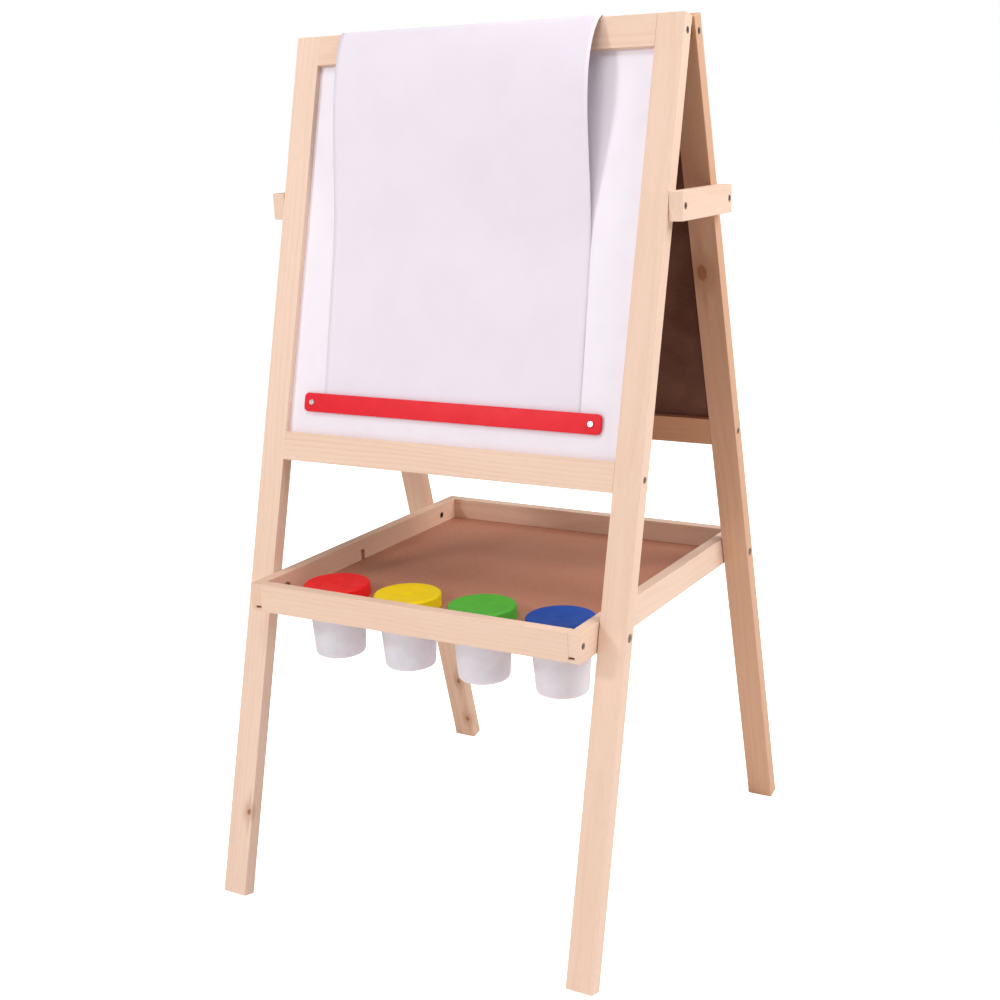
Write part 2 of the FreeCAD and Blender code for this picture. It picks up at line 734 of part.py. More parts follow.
def tray_sides():
    """Side rails, with the groove for the base, a notch for a divider and the bolt holes."""
    groove_height = d.tray_base_thickness + d.groove_play * 2
    groove_low = float(d.tray_base_lift - d.groove_play)
    lift = float(d.tray_bolt_lift)
    inserts = []
    for hand, sign in HANDS.items():
        node = f"tray_{hand}_rail"
        inward = Vector(-sign, 0, 0)
        low_x = TRAY_INNER if sign > 0 else -TRAY_HALF
        groove_x = TRAY_INNER if sign > 0 else -TRAY_INNER - float(d.tray_groove_depth)
        notch_x = TRAY_INNER if sign > 0 else -TRAY_INNER - float(d.notch_depth)
        timber = box(node + "_timber", Vector(low_x, -TRAY_END, 0), d.tray_rail_thickness, d.tray_depth,
                     d.tray_rail_width)
        notch_corner = Vector(notch_x, float(d.notch_y - d.notch_width / 2), BASE_TOP)
        rear_place = Vector(sign * TRAY_INNER, TRAY_BOLT_Y, lift)
        tools = [
            box(node + "_groove", Vector(groove_x, -TRAY_END, groove_low), d.tray_groove_depth, d.tray_depth,
                groove_height),
            box(node + "_notch", notch_corner, d.notch_depth, d.notch_width, d.notch_height),
            rod(node + "_front_hole", Vector(sign * TRAY_HALF, -TRAY_BOLT_Y, lift), inward,
                d.bolt_radius + d.hole_play, d.tray_rail_thickness),
            rod(node + "_rear_hole", rear_place, -inward, d.insert_radius + d.hole_play,
                d.tray_rail_thickness),
        ]
        for end in (-1, 1):
            tools.append(screw_room(f"{node}_screw_hole{end + 1}", corner_screw_place(sign, end), inward,
                                    WOOD_SCREW, d.tray_rail_thickness))
        keep(carved(node + "_cut", eased(node + "_eased", timber), tools), node, TRAY_PLACEMENT)
        sleeve = rod(f"{hand}_insert_sleeve", rear_place, -inward, d.insert_radius, d.tray_rail_thickness)
        bore = rod(f"{hand}_insert_bore", rear_place, -inward, d.bolt_radius, d.tray_rail_thickness)
        inserts.append(carved(f"{hand}_insert", sleeve, [bore]))
    keep(grouped("tray_insert_group", inserts), "tray_rear_inserts", TRAY_PLACEMENT)


def corner_screw_place(sign, end):
    """Where a corner screw of the tray enters the side rail."""
    return Vector(sign * TRAY_HALF, end * (TRAY_END - float(d.tray_screw_inset)), float(d.tray_bolt_lift))


def tray_ends():
    """Front and rear rails, held between the side rails by two screws at each end."""
    groove_height = d.tray_base_thickness + d.groove_play * 2
    groove_low = float(d.tray_base_lift - d.groove_play)
    length = (d.easel_width / 2 - d.leg_width - d.tray_play - d.tray_rail_thickness) * 2
    screws = []
    for which, end in {"front": -1, "rear": 1}.items():
        node = f"tray_{which}_rail"
        low_y = -TRAY_END if end < 0 else TRAY_END - float(d.tray_rail_thickness)
        inner_y = low_y + float(d.tray_rail_thickness)
        groove_y = inner_y - float(d.tray_groove_depth) if end < 0 else low_y
        timber = box(node + "_timber", Vector(-TRAY_INNER, low_y, 0), length, d.tray_rail_thickness,
                     d.tray_rail_width)
        groove_corner = Vector(-TRAY_INNER, groove_y, groove_low)
        tools = [box(node + "_groove", groove_corner, length, d.tray_groove_depth, groove_height)]
        for hand, sign in HANDS.items():
            inward = Vector(-sign, 0, 0)
            place = corner_screw_place(sign, end)
            tools.append(rod(f"{node}_{hand}_hole", place, inward, d.screw_radius + d.hole_play,
                             d.tray_screw_length))
            screws.append(screw(f"{node}_{hand}_screw", sunk(place, inward), inward, WOOD_SCREW,
                                d.tray_screw_length - d.head_recess * 2))
        keep(carved(node + "_cut", eased(node + "_eased", timber, ALONG_X), tools), node, TRAY_PLACEMENT)
    keep(grouped("tray_screw_group", screws), "tray_corner_screws", TRAY_PLACEMENT)


def tray_base():
    """Thin base in the rails' grooves, with a round hole for each pot."""
    rail_cover = d.tray_rail_thickness - d.tray_tongue
    length = (d.easel_width / 2 - d.leg_width - d.tray_play - rail_cover) * 2
    depth = d.tray_depth - rail_cover * 2
    corner = Vector(float(length) / -2, float(depth) / -2, float(d.tray_base_lift))
    panel = box("tray_base_panel", corner, length, depth, d.tray_base_thickness)
    holes = [rod(f"{colour}_pot_hole", Vector(place.x, place.y, 0), UP, d.pot_hole_radius, d.tray_rail_width)
             for colour, place in POT_PLACES.items()]
    keep(carved("tray_base_cut", panel, holes), "tray_base", TRAY_PLACEMENT)


def tray_bolts():
    """Front bolts with their nuts, on which the tray turns, and rear bolts that end inside the rear legs."""
    play = float(d.groove_play)
    front_length = d.leg_width + d.tray_play + d.tray_rail_thickness + d.nut_height
    rear_length = d.leg_width - d.open_pivot_play
    groups = {"tray_front_bolts": (FRONT, front_length), "tray_rear_bolts": (REAR, rear_length)}
    for node, (side, length) in groups.items():
        bolts = []
        for hand, sign in HANDS.items():
            inward = Vector(-sign, 0, 0)
            surface = Vector(sign * HALF_WIDTH, side * TRAY_BOLT_Y, TRAY_BOLT_Z)
            bolts.append(screw(f"{node}_{hand}", sunk(surface, inward), inward, BOLT, length))
        keep(grouped(node + "_group", bolts), node)
    nuts = [nut(f"tray_{hand}_nut", Vector(sign * (TRAY_INNER - play), -TRAY_BOLT_Y, TRAY_BOLT_Z),
                Vector(-sign, 0, 0), d.nut_radius, d.nut_height, d.bolt_radius)
            for hand, sign in HANDS.items()]
    keep(grouped("tray_nut_group", nuts), "tray_front_nuts")


# ------------------------------------------------------------ spreader bars

def spreader_bars():
    """A bar outside each pair of legs, with a pivot screw in front and a locking screw behind."""
    centre_z = float(d.spreader_height)
    low_y = float(d.spreader_length) / -2
    pivots = []
    for hand, sign in HANDS.items():
        node = hand + "_bar"
        inward = Vector(-sign, 0, 0)
        low_x = SPREADER_INNER if sign > 0 else -SPREADER_OUTER
        corner = Vector(low_x, low_y, centre_z - float(d.spreader_width / 2))
        timber = box(node + "_timber", corner, d.spreader_thickness, d.spreader_length, d.spreader_width)
        surfaces = [Vector(sign * SPREADER_OUTER, side * SPREADER_Y, centre_z) for side in (FRONT, REAR)]
        tools = [screw_room(f"{node}_hole{number}", surface, inward, WOOD_SCREW, d.spreader_thickness)
                 for number, surface in enumerate(surfaces)]
        keep(carved(node + "_cut", eased(node + "_eased", timber), tools), node)
        pivots.append(screw(f"{hand}_pivot_screw", sunk(surfaces[0], inward), inward, WOOD_SCREW,
                            d.spreader_screw_length - d.head_recess * 2))
        lock_length = d.spreader_thickness - d.head_recess
        keep(screw(f"{hand}_lock_screw", sunk(surfaces[1], inward), inward, WOOD_SCREW, lock_length),
             f"{hand}_bar_screw")
    keep(grouped("pivot_screw_group", pivots), "bar_pivot_screws")


# ------------------------------------------------------------ paint pots

def pot(colour, place):
    """A tapered cup that hangs by its flange in the base, and the lid whose skirt covers the flange."""
    seat = TRAY_FLOOR + place.z
    flange_top = d.cup_depth + d.flange_height
    neck_top = flange_top + d.neck_height
    cup = turned("cup_body_" + colour, [
        (0, 0),
        (d.cup_bottom_radius, 0),
        (d.cup_top_radius, d.cup_depth),
        (d.flange_radius, d.cup_depth),
        (d.flange_radius, flange_top),
        (d.neck_radius, flange_top),
        (d.neck_radius, neck_top),
        (d.neck_radius - d.cup_wall, neck_top),
        (d.neck_radius - d.cup_wall, d.cup_depth),
        (d.cup_bottom_radius - d.cup_wall, d.cup_wall),
        (0, d.cup_wall),
    ])
    rounded(cup, d.cup_corner, lambda radius, height: height == 0)
    cup_low = seat + float(d.flange_seat - d.cup_depth)
    keep(cup, "cup_" + colour, Placement(Vector(place.x, place.y, cup_low), Rotation()))

    dish = d.lid_height - d.lid_dish
    lid = turned("lid_body_" + colour, [
        (d.lid_radius - d.lid_wall, 0),
        (d.lid_radius, 0),
        (d.lid_radius, d.lid_height),
        (d.lid_radius - d.lid_rim, d.lid_height),
        (d.lid_radius - d.lid_rim, dish),
        (0, dish),
        (0, dish - d.lid_wall),
        (d.lid_radius - d.lid_wall, dish - d.lid_wall),
    ])
    top = float(d.lid_height)
    rounded(lid, d.lid_edge_round, lambda radius, height: abs(height - top) < SAME_LEVEL)
    lid_low = seat + float(d.lid_fit)
    keep(lid, "lid_" + colour, Placement(Vector(place.x, place.y, lid_low), Rotation()))


# ------------------------------------------------------------ the whole easel

def build():
    """Make every sub-part."""
    for name, side, board in (("front", FRONT, "whiteboard"), ("rear", REAR, "chalkboard")):
        frame_legs(name, side)
        frame_rails(name, side)
        frame_board(board, side)
        frame_screws(name, side)
        hinge_leaves(name, side)
        hinge_screws(name, side)
    hinge_pins()
    clamp_strip()
    strip_fasteners()
    roll_brackets()
    paper_roll()
    paper_sheet()
    tray_sides()
    tray_ends()
    tray_base()
    tray_bolts()
    spreader_bars()
    for colour, place in POT_PLACES.items():
        pot(colour, place)
    doc.recompute()


def check():
    """Stop at any object that failed and at any sub-part without a sound shape."""
    for obj in doc.Objects:
        if "Invalid" in obj.State or "Error" in obj.State:
            raise RuntimeError(f"{obj.Name} failed: {obj.State}")
    for obj in SUB_PARTS:
        if obj.Shape.isNull() or not obj.Shape.isValid() or obj.Shape.Volume <= 0:
            raise RuntimeError(f"{obj.Label} has no sound shape")


def export():
    """Write each sub-part to its own STEP file."""
    os.makedirs("parts", exist_ok=True)
    for obj in SUB_PARTS:
        obj.Shape.exportStep(f"parts/{obj.Label}.step")
    print(f"{len(SUB_PARTS)} sub-parts")


build()
check()
export()
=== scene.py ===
import json
import math
from types import SimpleNamespace

import bmesh
import bpy
from bpy.props import FloatProperty, FloatVectorProperty, IntProperty, PointerProperty
from mathutils import Matrix, Vector, noise


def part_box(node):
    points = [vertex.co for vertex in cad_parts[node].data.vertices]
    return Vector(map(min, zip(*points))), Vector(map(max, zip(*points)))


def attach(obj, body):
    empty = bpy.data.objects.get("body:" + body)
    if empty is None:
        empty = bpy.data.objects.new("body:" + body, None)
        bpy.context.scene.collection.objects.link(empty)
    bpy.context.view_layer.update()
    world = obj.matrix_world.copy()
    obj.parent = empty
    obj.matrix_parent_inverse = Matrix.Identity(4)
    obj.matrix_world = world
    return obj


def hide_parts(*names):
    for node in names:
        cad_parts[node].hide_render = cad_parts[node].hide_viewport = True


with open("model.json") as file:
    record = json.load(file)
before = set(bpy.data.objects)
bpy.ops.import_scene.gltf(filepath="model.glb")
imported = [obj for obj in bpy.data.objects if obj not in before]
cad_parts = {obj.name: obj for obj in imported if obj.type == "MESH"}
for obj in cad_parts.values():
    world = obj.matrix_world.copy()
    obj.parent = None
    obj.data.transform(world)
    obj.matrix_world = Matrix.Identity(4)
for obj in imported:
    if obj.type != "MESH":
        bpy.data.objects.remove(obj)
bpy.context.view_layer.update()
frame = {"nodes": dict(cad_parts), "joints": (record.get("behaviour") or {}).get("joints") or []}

bl_info = {
    "name": "Kids easel looks",
    "version": (1, 0, 0),
    "blender": (4, 5, 0),
    "location": "View3D > Sidebar > Easel",
    "description": "Wood, boards, paper, strip, pots and fittings of a double-sided children's easel",
    "category": "Object",
}

COLOURS = ("red", "yellow", "green", "blue")
UP = Vector((0, 0, 1))
ALONG_X = Vector((1, 0, 0))
ALONG_Y = Vector((0, 1, 0))


# ---------------------------------------------------------------- places read from the frame

def joint_place(name):
    """Where a joint of the frame turns or slides."""
    joint = next(joint for joint in frame["joints"] if joint["name"] == name)
    return Vector(joint["pos_m"])


def box_middle(node):
    """Middle of a node's box."""
    low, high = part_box(node)
    return (low + high) / 2


HINGE = Vector((0, 0, joint_place("rear_frame_fold").z))
STRIP_MIDDLE = box_middle("clamp_strip")
BOARD_MIDDLE = box_middle("whiteboard")


def frame_axes(side, lean):
    """Down the legs, and out of a leaning frame. side is -1 in front and 1 behind."""
    down = Vector((0, side * math.sin(lean), -math.cos(lean)))
    out = Vector((0, side * math.cos(lean), math.sin(lean)))
    return down, out


def on_frame(side, lean, x, drop, depth):
    """A point of a leaning frame, by its drop from the hinge line and its depth towards the outer face."""
    down, out = frame_axes(side, lean)
    return HINGE + ALONG_X * x + down * drop + out * depth


# ---------------------------------------------------------------- sizes and colours a user would change

class EaselStageSettings(bpy.types.PropertyGroup):
    """Camera, lights and floor."""

    floor_colour: FloatVectorProperty(
        name="Floor", description="Colour of the floor and of the space around",
        subtype="COLOR", size=3, min=0, max=1, default=(0.97, 0.965, 0.96))
    surround: FloatProperty(
        name="Surround", description="Strength of the even light from all sides", default=0.24, min=0)
    floor_glow: FloatProperty(
        name="Floor glow", description="How much brighter the camera sees the floor", default=0.87, min=0)
    key_power: FloatProperty(
        name="Key light", description="Power of the soft light from the front left", default=31, min=0,
        unit="POWER")
    side_power: FloatProperty(
        name="Side light", description="Power of the wide light from the right", default=60, min=0,
        unit="POWER")
    top_power: FloatProperty(
        name="Top light", description="Power of the light from high in front", default=22, min=0,
        unit="POWER")
    back_power: FloatProperty(
        name="Back light", description="Power of the light from high behind", default=22, min=0,
        unit="POWER")
    fill_power: FloatProperty(
        name="Fill light", description="Power of the low light from the front", default=12, min=0,
        unit="POWER")
    lens: FloatProperty(
        name="Lens", description="Focal length on a 36 mm wide sensor", default=53.96, min=1, unit="CAMERA")
    azimuth: FloatProperty(
        name="Azimuth", description="How far the camera stands round to the right", subtype="ANGLE",
        default=math.radians(30.583))
    elevation: FloatProperty(
        name="Elevation", description="How far the camera looks down", subtype="ANGLE",
        default=math.radians(14.431))
    roll: FloatProperty(
        name="Roll", description="How far the camera leans over", subtype="ANGLE",
        default=math.radians(-2.058))
    stand: FloatVectorProperty(
        name="Stand", description="Where the camera stands", subtype="TRANSLATION", unit="LENGTH", size=3,
        default=(0.9389, -1.597, 0.9526))


class EaselTimberSettings(bpy.types.PropertyGroup):
    """Pale sanded softwood."""

    light_wood: FloatVectorProperty(
        name="Early wood", description="Colour between the growth rings", subtype="COLOR", size=3,
        min=0, max=1, default=(0.83, 0.595, 0.46))
    dark_wood: FloatVectorProperty(
        name="Late wood", description="Colour of the growth rings", subtype="COLOR", size=3,
        min=0, max=1, default=(0.72, 0.455, 0.315))
    knot_wood: FloatVectorProperty(
        name="Knot", description="Colour of knots and resin streaks", subtype="COLOR", size=3,
        min=0, max=1, default=(0.38, 0.150, 0.065))
    ring_width: FloatProperty(
        name="Ring width", description="Distance between growth rings", unit="LENGTH", default=0.0055,
        min=0.001)
    lean: FloatProperty(
        name="Lean", description="How far the frames lean from upright", subtype="ANGLE",
        default=math.radians(14.5))


class EaselBoardSettings(bpy.types.PropertyGroup):
    """Writing boards and the hardboard behind them."""

    whiteboard: FloatVectorProperty(
        name="Whiteboard", description="Colour of the smooth white face", subtype="COLOR", size=3,
        min=0, max=1, default=(0.85, 0.785, 0.85))
    chalkboard: FloatVectorProperty(
        name="Chalkboard", description="Colour of the chalkboard paint", subtype="COLOR", size=3,
        min=0, max=1, default=(0.018, 0.021, 0.020))
    hardboard: FloatVectorProperty(
        name="Hardboard", description="Colour of bare hardboard", subtype="COLOR", size=3,
        min=0, max=1, default=(0.50, 0.210, 0.130))
    # The bare inner side is the same hardboard as the tray's base. This much darker colour is painted shade
    # for the dim inside between the frames.
    shaded_inner_hardboard: FloatVectorProperty(
        name="Inner hardboard", description="Colour of the darker bare side of the chalkboard",
        subtype="COLOR", size=3, min=0, max=1, default=(0.09, 0.026, 0.013))


class EaselPaperSettings(bpy.types.PropertyGroup):
    """The sheet that comes off the roll, over the top rail and under the strip."""

    colour: FloatVectorProperty(
        name="Paper", description="Colour of the paper", subtype="COLOR", size=3, min=0, max=1,
        default=(0.80, 0.735, 0.81))
    thickness: FloatProperty(
        name="Thickness", description="Thickness of the paper", unit="LENGTH", default=0.0003, min=0.0001)
    bulge: FloatProperty(
        name="Bulge", description="How far the paper's right edge stands off below the rail",
        unit="LENGTH", default=0.026)
    left_bulge: FloatProperty(
        name="Left bulge", description="How far the paper's left edge stands off below the rail",
        unit="LENGTH", default=0.012)
    slant: FloatProperty(
        name="Slant", description="How far the paper runs to the right before it reaches the strip",
        unit="LENGTH", default=0.0165)
    landing: FloatProperty(
        name="Landing", description="Drop at which the paper comes to lie on the board", unit="LENGTH",
        default=0.268)
    steps: IntProperty(name="Steps", description="Rows of faces down the sheet", default=150, min=20)


class EaselPotSettings(bpy.types.PropertyGroup):
    """Paint pots and their lids."""

    cup: FloatVectorProperty(
        name="Cup", description="Colour of the milky cups", subtype="COLOR", size=3, min=0, max=1,
        default=(0.98, 0.79, 0.84))
    red: FloatVectorProperty(
        name="Red lid", description="Colour of the first lid", subtype="COLOR", size=3, min=0, max=1,
        default=(0.92, 0.016, 0.016))
    yellow: FloatVectorProperty(
        name="Yellow lid", description="Colour of the second lid", subtype="COLOR", size=3, min=0, max=1,
        default=(0.95, 0.67, 0.003))
    green: FloatVectorProperty(
        name="Green lid", description="Colour of the third lid", subtype="COLOR", size=3, min=0, max=1,
        default=(0.095, 0.46, 0.045))
    blue: FloatVectorProperty(
        name="Blue lid", description="Colour of the fourth lid", subtype="COLOR", size=3, min=0, max=1,
        default=(0.020, 0.075, 0.36))


class EaselTrimSettings(bpy.types.PropertyGroup):
    """The red strip and the metal fittings."""

    strip: FloatVectorProperty(
        name="Strip", description="Colour of the strip that holds the paper", subtype="COLOR", size=3,
        min=0, max=1, default=(0.78, 0.018, 0.03))
    steel: FloatVectorProperty(
        name="Steel", description="Colour of the plated screws", subtype="COLOR", size=3, min=0, max=1,
        default=(0.34, 0.27, 0.23))
    brass: FloatVectorProperty(
        name="Brass", description="Colour of the plated hinges", subtype="COLOR", size=3, min=0, max=1,
        default=(0.72, 0.52, 0.24))
    corner: FloatProperty(
        name="Corner", description="Radius of the strip's corners", unit="LENGTH", default=0.006, min=0)
    edge: FloatProperty(
        name="Edge", description="Radius of the strip's edges", unit="LENGTH", default=0.0009, min=0)


# ---------------------------------------------------------------- node trees

def node(tree, kind, **values):
    """A new node with its settings; an input is named with spaces as underscores."""
    made = tree.nodes.new(kind)
    for name, value in values.items():
        if hasattr(made, name):
            setattr(made, name, value)
        else:
            made.inputs[name.replace("_", " ")].default_value = value
    return made


def join(tree, source, target):
    """A link between two sockets."""
    tree.links.new(source, target)


def maths(tree, operation, first, second=None, clamp=False):
    """A Math node fed by sockets or numbers, and its result."""
    made = node(tree, "ShaderNodeMath", operation=operation, use_clamp=clamp)
    for index, value in enumerate((first, second)):
        if isinstance(value, bpy.types.NodeSocket):
            join(tree, value, made.inputs[index])
        elif value is not None:
            made.inputs[index].default_value = value
    return made.outputs[0]


def blended(tree, factor, first, second, mode="MIX"):
    """Two colours mixed by a factor; each may be a socket or a constant."""
    made = node(tree, "ShaderNodeMix", data_type="RGBA", blend_type=mode)
    made.clamp_factor = True
    for socket, value in ((made.inputs[0], factor), (made.inputs[6], first), (made.inputs[7], second)):
        if isinstance(value, bpy.types.NodeSocket):
            join(tree, value, socket)
        elif socket == made.inputs[0]:
            socket.default_value = value
        else:
            socket.default_value = (*value, 1)
    return made.outputs[2]


def ranged(tree, value, low, high, to_low=0.0, to_high=1.0):
    """A value carried smoothly from one range to another."""
    made = node(tree, "ShaderNodeMapRange", interpolation_type="SMOOTHSTEP")
    join(tree, value, made.inputs[0])
    for index, number in enumerate((low, high, to_low, to_high), start=1):
        made.inputs[index].default_value = number
    return made.outputs[0]


def stretched_noise(tree, vector, scale, detail=4.0, roughness=0.55, distortion=0.0):
    """Noise whose grain is longer in one direction than another."""
    mapping = node(tree, "ShaderNodeMapping", Scale=scale)
    join(tree, vector, mapping.inputs["Vector"])
    grain = node(tree, "ShaderNodeTexNoise", Scale=1.0, Detail=detail, Roughness=roughness,
                 Distortion=distortion)
    join(tree, mapping.outputs[0], grain.inputs["Vector"])
    return grain.outputs[0]


def effect(name, inputs, outputs):
    """A shader node group with named sockets, and its inner ends."""
    tree = bpy.data.node_groups.new(name, "ShaderNodeTree")
    for label, kind, default in inputs:
        socket = tree.interface.new_socket(label, in_out="INPUT", socket_type=f"NodeSocket{kind}")
        if default is not None:
            socket.default_value = default
    for label, kind in outputs:
        tree.interface.new_socket(label, in_out="OUTPUT", socket_type=f"NodeSocket{kind}")
    return tree, tree.nodes.new("NodeGroupInput").outputs, tree.nodes.new("NodeGroupOutput").inputs


def placed(tree, group, **values):
    """An effect placed in a material with its own values."""
    made = tree.nodes.new("ShaderNodeGroup")
    made.node_tree = group
    for name, value in values.items():
        socket = made.inputs[name.replace("_", " ")]
        if isinstance(value, bpy.types.NodeSocket):
            join(tree, value, socket)
        else:
            socket.default_value = value
    return made.outputs


def new_material(name, **shader_values):
    """A material with its Principled shader's constant values set on its own sockets."""
    material = bpy.data.materials.new(name)
    material.use_nodes = True
    shader = material.node_tree.nodes["Principled BSDF"]
    for label, value in shader_values.items():
        shader.inputs[label.replace("_", " ")].default_value = value
    return material, material.node_tree, shader


def bumped(tree, shader, height, distance, strength):
    """Surface relief from a height."""
    bump = node(tree, "ShaderNodeBump", Strength=strength, Distance=distance)
    join(tree, height, bump.inputs["Height"])
    join(tree, bump.outputs[0], shader.inputs["Normal"])


def object_place(tree, centre=(0, 0, 0), turn=(0, 0, 0)):
    """The piece's own coordinates, centred and turned."""
    coordinates = node(tree, "ShaderNodeTexCoord")
    shifted = node(tree, "ShaderNodeVectorMath", operation="SUBTRACT")
    join(tree, coordinates.outputs["Object"], shifted.inputs[0])
    shifted.inputs[1].default_value = centre
    mapping = node(tree, "ShaderNodeMapping", Rotation=turn)
    join(tree, shifted.outputs[0], mapping.inputs["Vector"])
    return mapping.outputs[0]


# ---------------------------------------------------------------- shared effects

def timber_effect():
    """Growth rings along Z, fine fibres, pores and slow changes of tone."""
    tree, given, result = effect(
        "Sawn timber",
        [("Vector", "Vector", None), ("Heart", "Vector", (0.05, 0.02, 0)), ("Ring Width", "Float", 0.005),
         ("Light", "Color", None), ("Dark", "Color", None), ("Contrast", "Float", 0.6)],
        [("Color", "Color"), ("Roughness", "Float"), ("Height", "Float")])
    wander = stretched_noise(tree, given["Vector"], (9, 9, 1.6), detail=2)
    bend = node(tree, "ShaderNodeVectorMath", operation="ADD")
    join(tree, given["Vector"], bend.inputs[0])
    join(tree, given["Heart"], bend.inputs[1])
    apart = node(tree, "ShaderNodeSeparateXYZ")
    join(tree, bend.outputs[0], apart.inputs[0])
    across = maths(tree, "POWER", apart.outputs[0], 2.0)
    through = maths(tree, "POWER", apart.outputs[1], 2.0)
    radius = maths(tree, "SQRT", maths(tree, "ADD", across, through))
    wavy = maths(tree, "ADD", radius, maths(tree, "MULTIPLY", wander, 0.03))
    turns = maths(tree, "DIVIDE", wavy, given["Ring Width"])
    ring = maths(tree, "FRACT", turns)
    rise = ranged(tree, ring, 0.25, 0.88)
    fall = ranged(tree, ring, 0.93, 1.0, 1.0, 0.0)
    late = maths(tree, "MULTIPLY", rise, fall)
    fibres = stretched_noise(tree, given["Vector"], (1100, 1100, 22), detail=3, roughness=0.6)
    streaks = stretched_noise(tree, given["Vector"], (260, 260, 5), detail=4, roughness=0.6)
    tone = stretched_noise(tree, given["Vector"], (22, 22, 3.5), detail=2)
    pores = ranged(tree, stretched_noise(tree, given["Vector"], (2300, 2300, 60), detail=1), 0.64, 0.76)
    amount = maths(tree, "MULTIPLY", late, given["Contrast"])
    for pattern, share, clamp in ((streaks, 0.55, False), (tone, 0.7, False), (fibres, 0.5, True)):
        swing = maths(tree, "MULTIPLY", maths(tree, "SUBTRACT", pattern, 0.5), share)
        amount = maths(tree, "ADD", amount, swing, clamp)
    body = blended(tree, amount, given["Light"], given["Dark"])
    flecked = blended(tree, maths(tree, "MULTIPLY", pores, 0.28), body, given["Dark"], "MULTIPLY")
    join(tree, flecked, result["Color"])
    join(tree, ranged(tree, fibres, 0.2, 0.8, 0.46, 0.62), result["Roughness"])
    relief = maths(tree, "ADD", maths(tree, "MULTIPLY", fibres, 0.7), maths(tree, "MULTIPLY", late, 0.3))
    join(tree, maths(tree, "SUBTRACT", relief, maths(tree, "MULTIPLY", pores, 0.5)), result["Height"])
    return tree


def knot_effect():
    """A round knot with a dark rim, and the resin streaks above and below it."""
    tree, given, result = effect(
        "Knot",
        [("Vector", "Vector", None), ("Place", "Vector", (0, 0, 0)), ("Radius", "Float", 0.006),
         ("Color", "Color", None), ("Knot Color", "Color", None)],
        [("Color", "Color")])
    offset = node(tree, "ShaderNodeVectorMath", operation="SUBTRACT")
    join(tree, given["Vector"], offset.inputs[0])
    join(tree, given["Place"], offset.inputs[1])
    squeeze = node(tree, "ShaderNodeMapping", Scale=(1, 1, 0.62))
    join(tree, offset.outputs[0], squeeze.inputs["Vector"])
    ragged = stretched_noise(tree, given["Vector"], (420, 420, 160), detail=2)
    reach = node(tree, "ShaderNodeVectorMath", operation="LENGTH")
    join(tree, squeeze.outputs[0], reach.inputs[0])
    distance = maths(tree, "ADD", reach.outputs["Value"], maths(tree, "MULTIPLY", ragged, 0.0032))
    share = maths(tree, "DIVIDE", distance, given["Radius"])
    core = ranged(tree, share, 0.75, 1.35, 1.0, 0.0)
    halo = ranged(tree, share, 1.0, 3.4, 0.45, 0.0)
    trail = node(tree, "ShaderNodeMapping", Scale=(1, 1, 0.11))
    join(tree, offset.outputs[0], trail.inputs["Vector"])
    length = node(tree, "ShaderNodeVectorMath", operation="LENGTH")
    join(tree, trail.outputs[0], length.inputs[0])
    drawn_out = maths(tree, "DIVIDE", length.outputs["Value"], given["Radius"])
    streak = ranged(tree, drawn_out, 0.2, 1.0, 0.4, 0.0)
    mask = maths(tree, "MAXIMUM", maths(tree, "MAXIMUM", core, halo), streak)
    join(tree, blended(tree, mask, given["Color"], given["Knot Color"]), result["Color"])
    return tree


def wear_effect():
    """Fine scratches and soft smudges on a smooth surface."""
    tree, given, result = effect(
        "Handling wear",
        [("Vector", "Vector", None), ("Scale", "Float", 1.0)],
        [("Smudge", "Float"), ("Scratch", "Float")])
    scaled = node(tree, "ShaderNodeVectorMath", operation="SCALE")
    join(tree, given["Vector"], scaled.inputs[0])
    join(tree, given["Scale"], scaled.inputs["Scale"])
    smudge = stretched_noise(tree, scaled.outputs[0], (28, 28, 28), detail=5, roughness=0.6)
    join(tree, smudge, result["Smudge"])
    lines = [stretched_noise(tree, scaled.outputs[0], scale, detail=2)
             for scale in ((900, 40, 60), (50, 70, 800))]
    both = maths(tree, "MAXIMUM", lines[0], lines[1])
    join(tree, ranged(tree, both, 0.68, 0.78), result["Scratch"])
    return tree


def hardboard_effect():
    """Pressed brown fibre board: mottled fibres and a slight sheen."""
    tree, given, result = effect(
        "Hardboard",
        [("Vector", "Vector", None), ("Base", "Color", None)],
        [("Color", "Color"), ("Roughness", "Float"), ("Height", "Float")])
    fibres = stretched_noise(tree, given["Vector"], (520, 300, 410), detail=5, roughness=0.7,
                             distortion=1.2)
    clouds = stretched_noise(tree, given["Vector"], (9, 9, 9), detail=3)
    flecks = ranged(tree, stretched_noise(tree, given["Vector"], (1500, 900, 1200), detail=1), 0.66, 0.74)
    darker = blended(tree, ranged(tree, fibres, 0.3, 0.7, 0.0, 0.30), given["Base"], (0.22, 0.09, 0.05))
    lighter = blended(tree, maths(tree, "MULTIPLY", flecks, 0.35), darker, (0.62, 0.36, 0.24))
    cloudy = blended(tree, ranged(tree, clouds, 0.35, 0.7, 0.0, 0.22), lighter, (0.50, 0.27, 0.19))
    join(tree, cloudy, result["Color"])
    join(tree, ranged(tree, fibres, 0.3, 0.7, 0.5, 0.72), result["Roughness"])
    join(tree, fibres, result["Height"])
    return tree


def shared(name, maker):
    """An effect that is built once and used by every material that needs it."""
    return bpy.data.node_groups.get(name) or maker()


# ---------------------------------------------------------------- finishes

# How fast red, green and blue fall as a wood tone drops below 1, so lower tones are also warmer. Used for
# slight random tone and for painted shade.
WARMTH = (1, 2, 3)


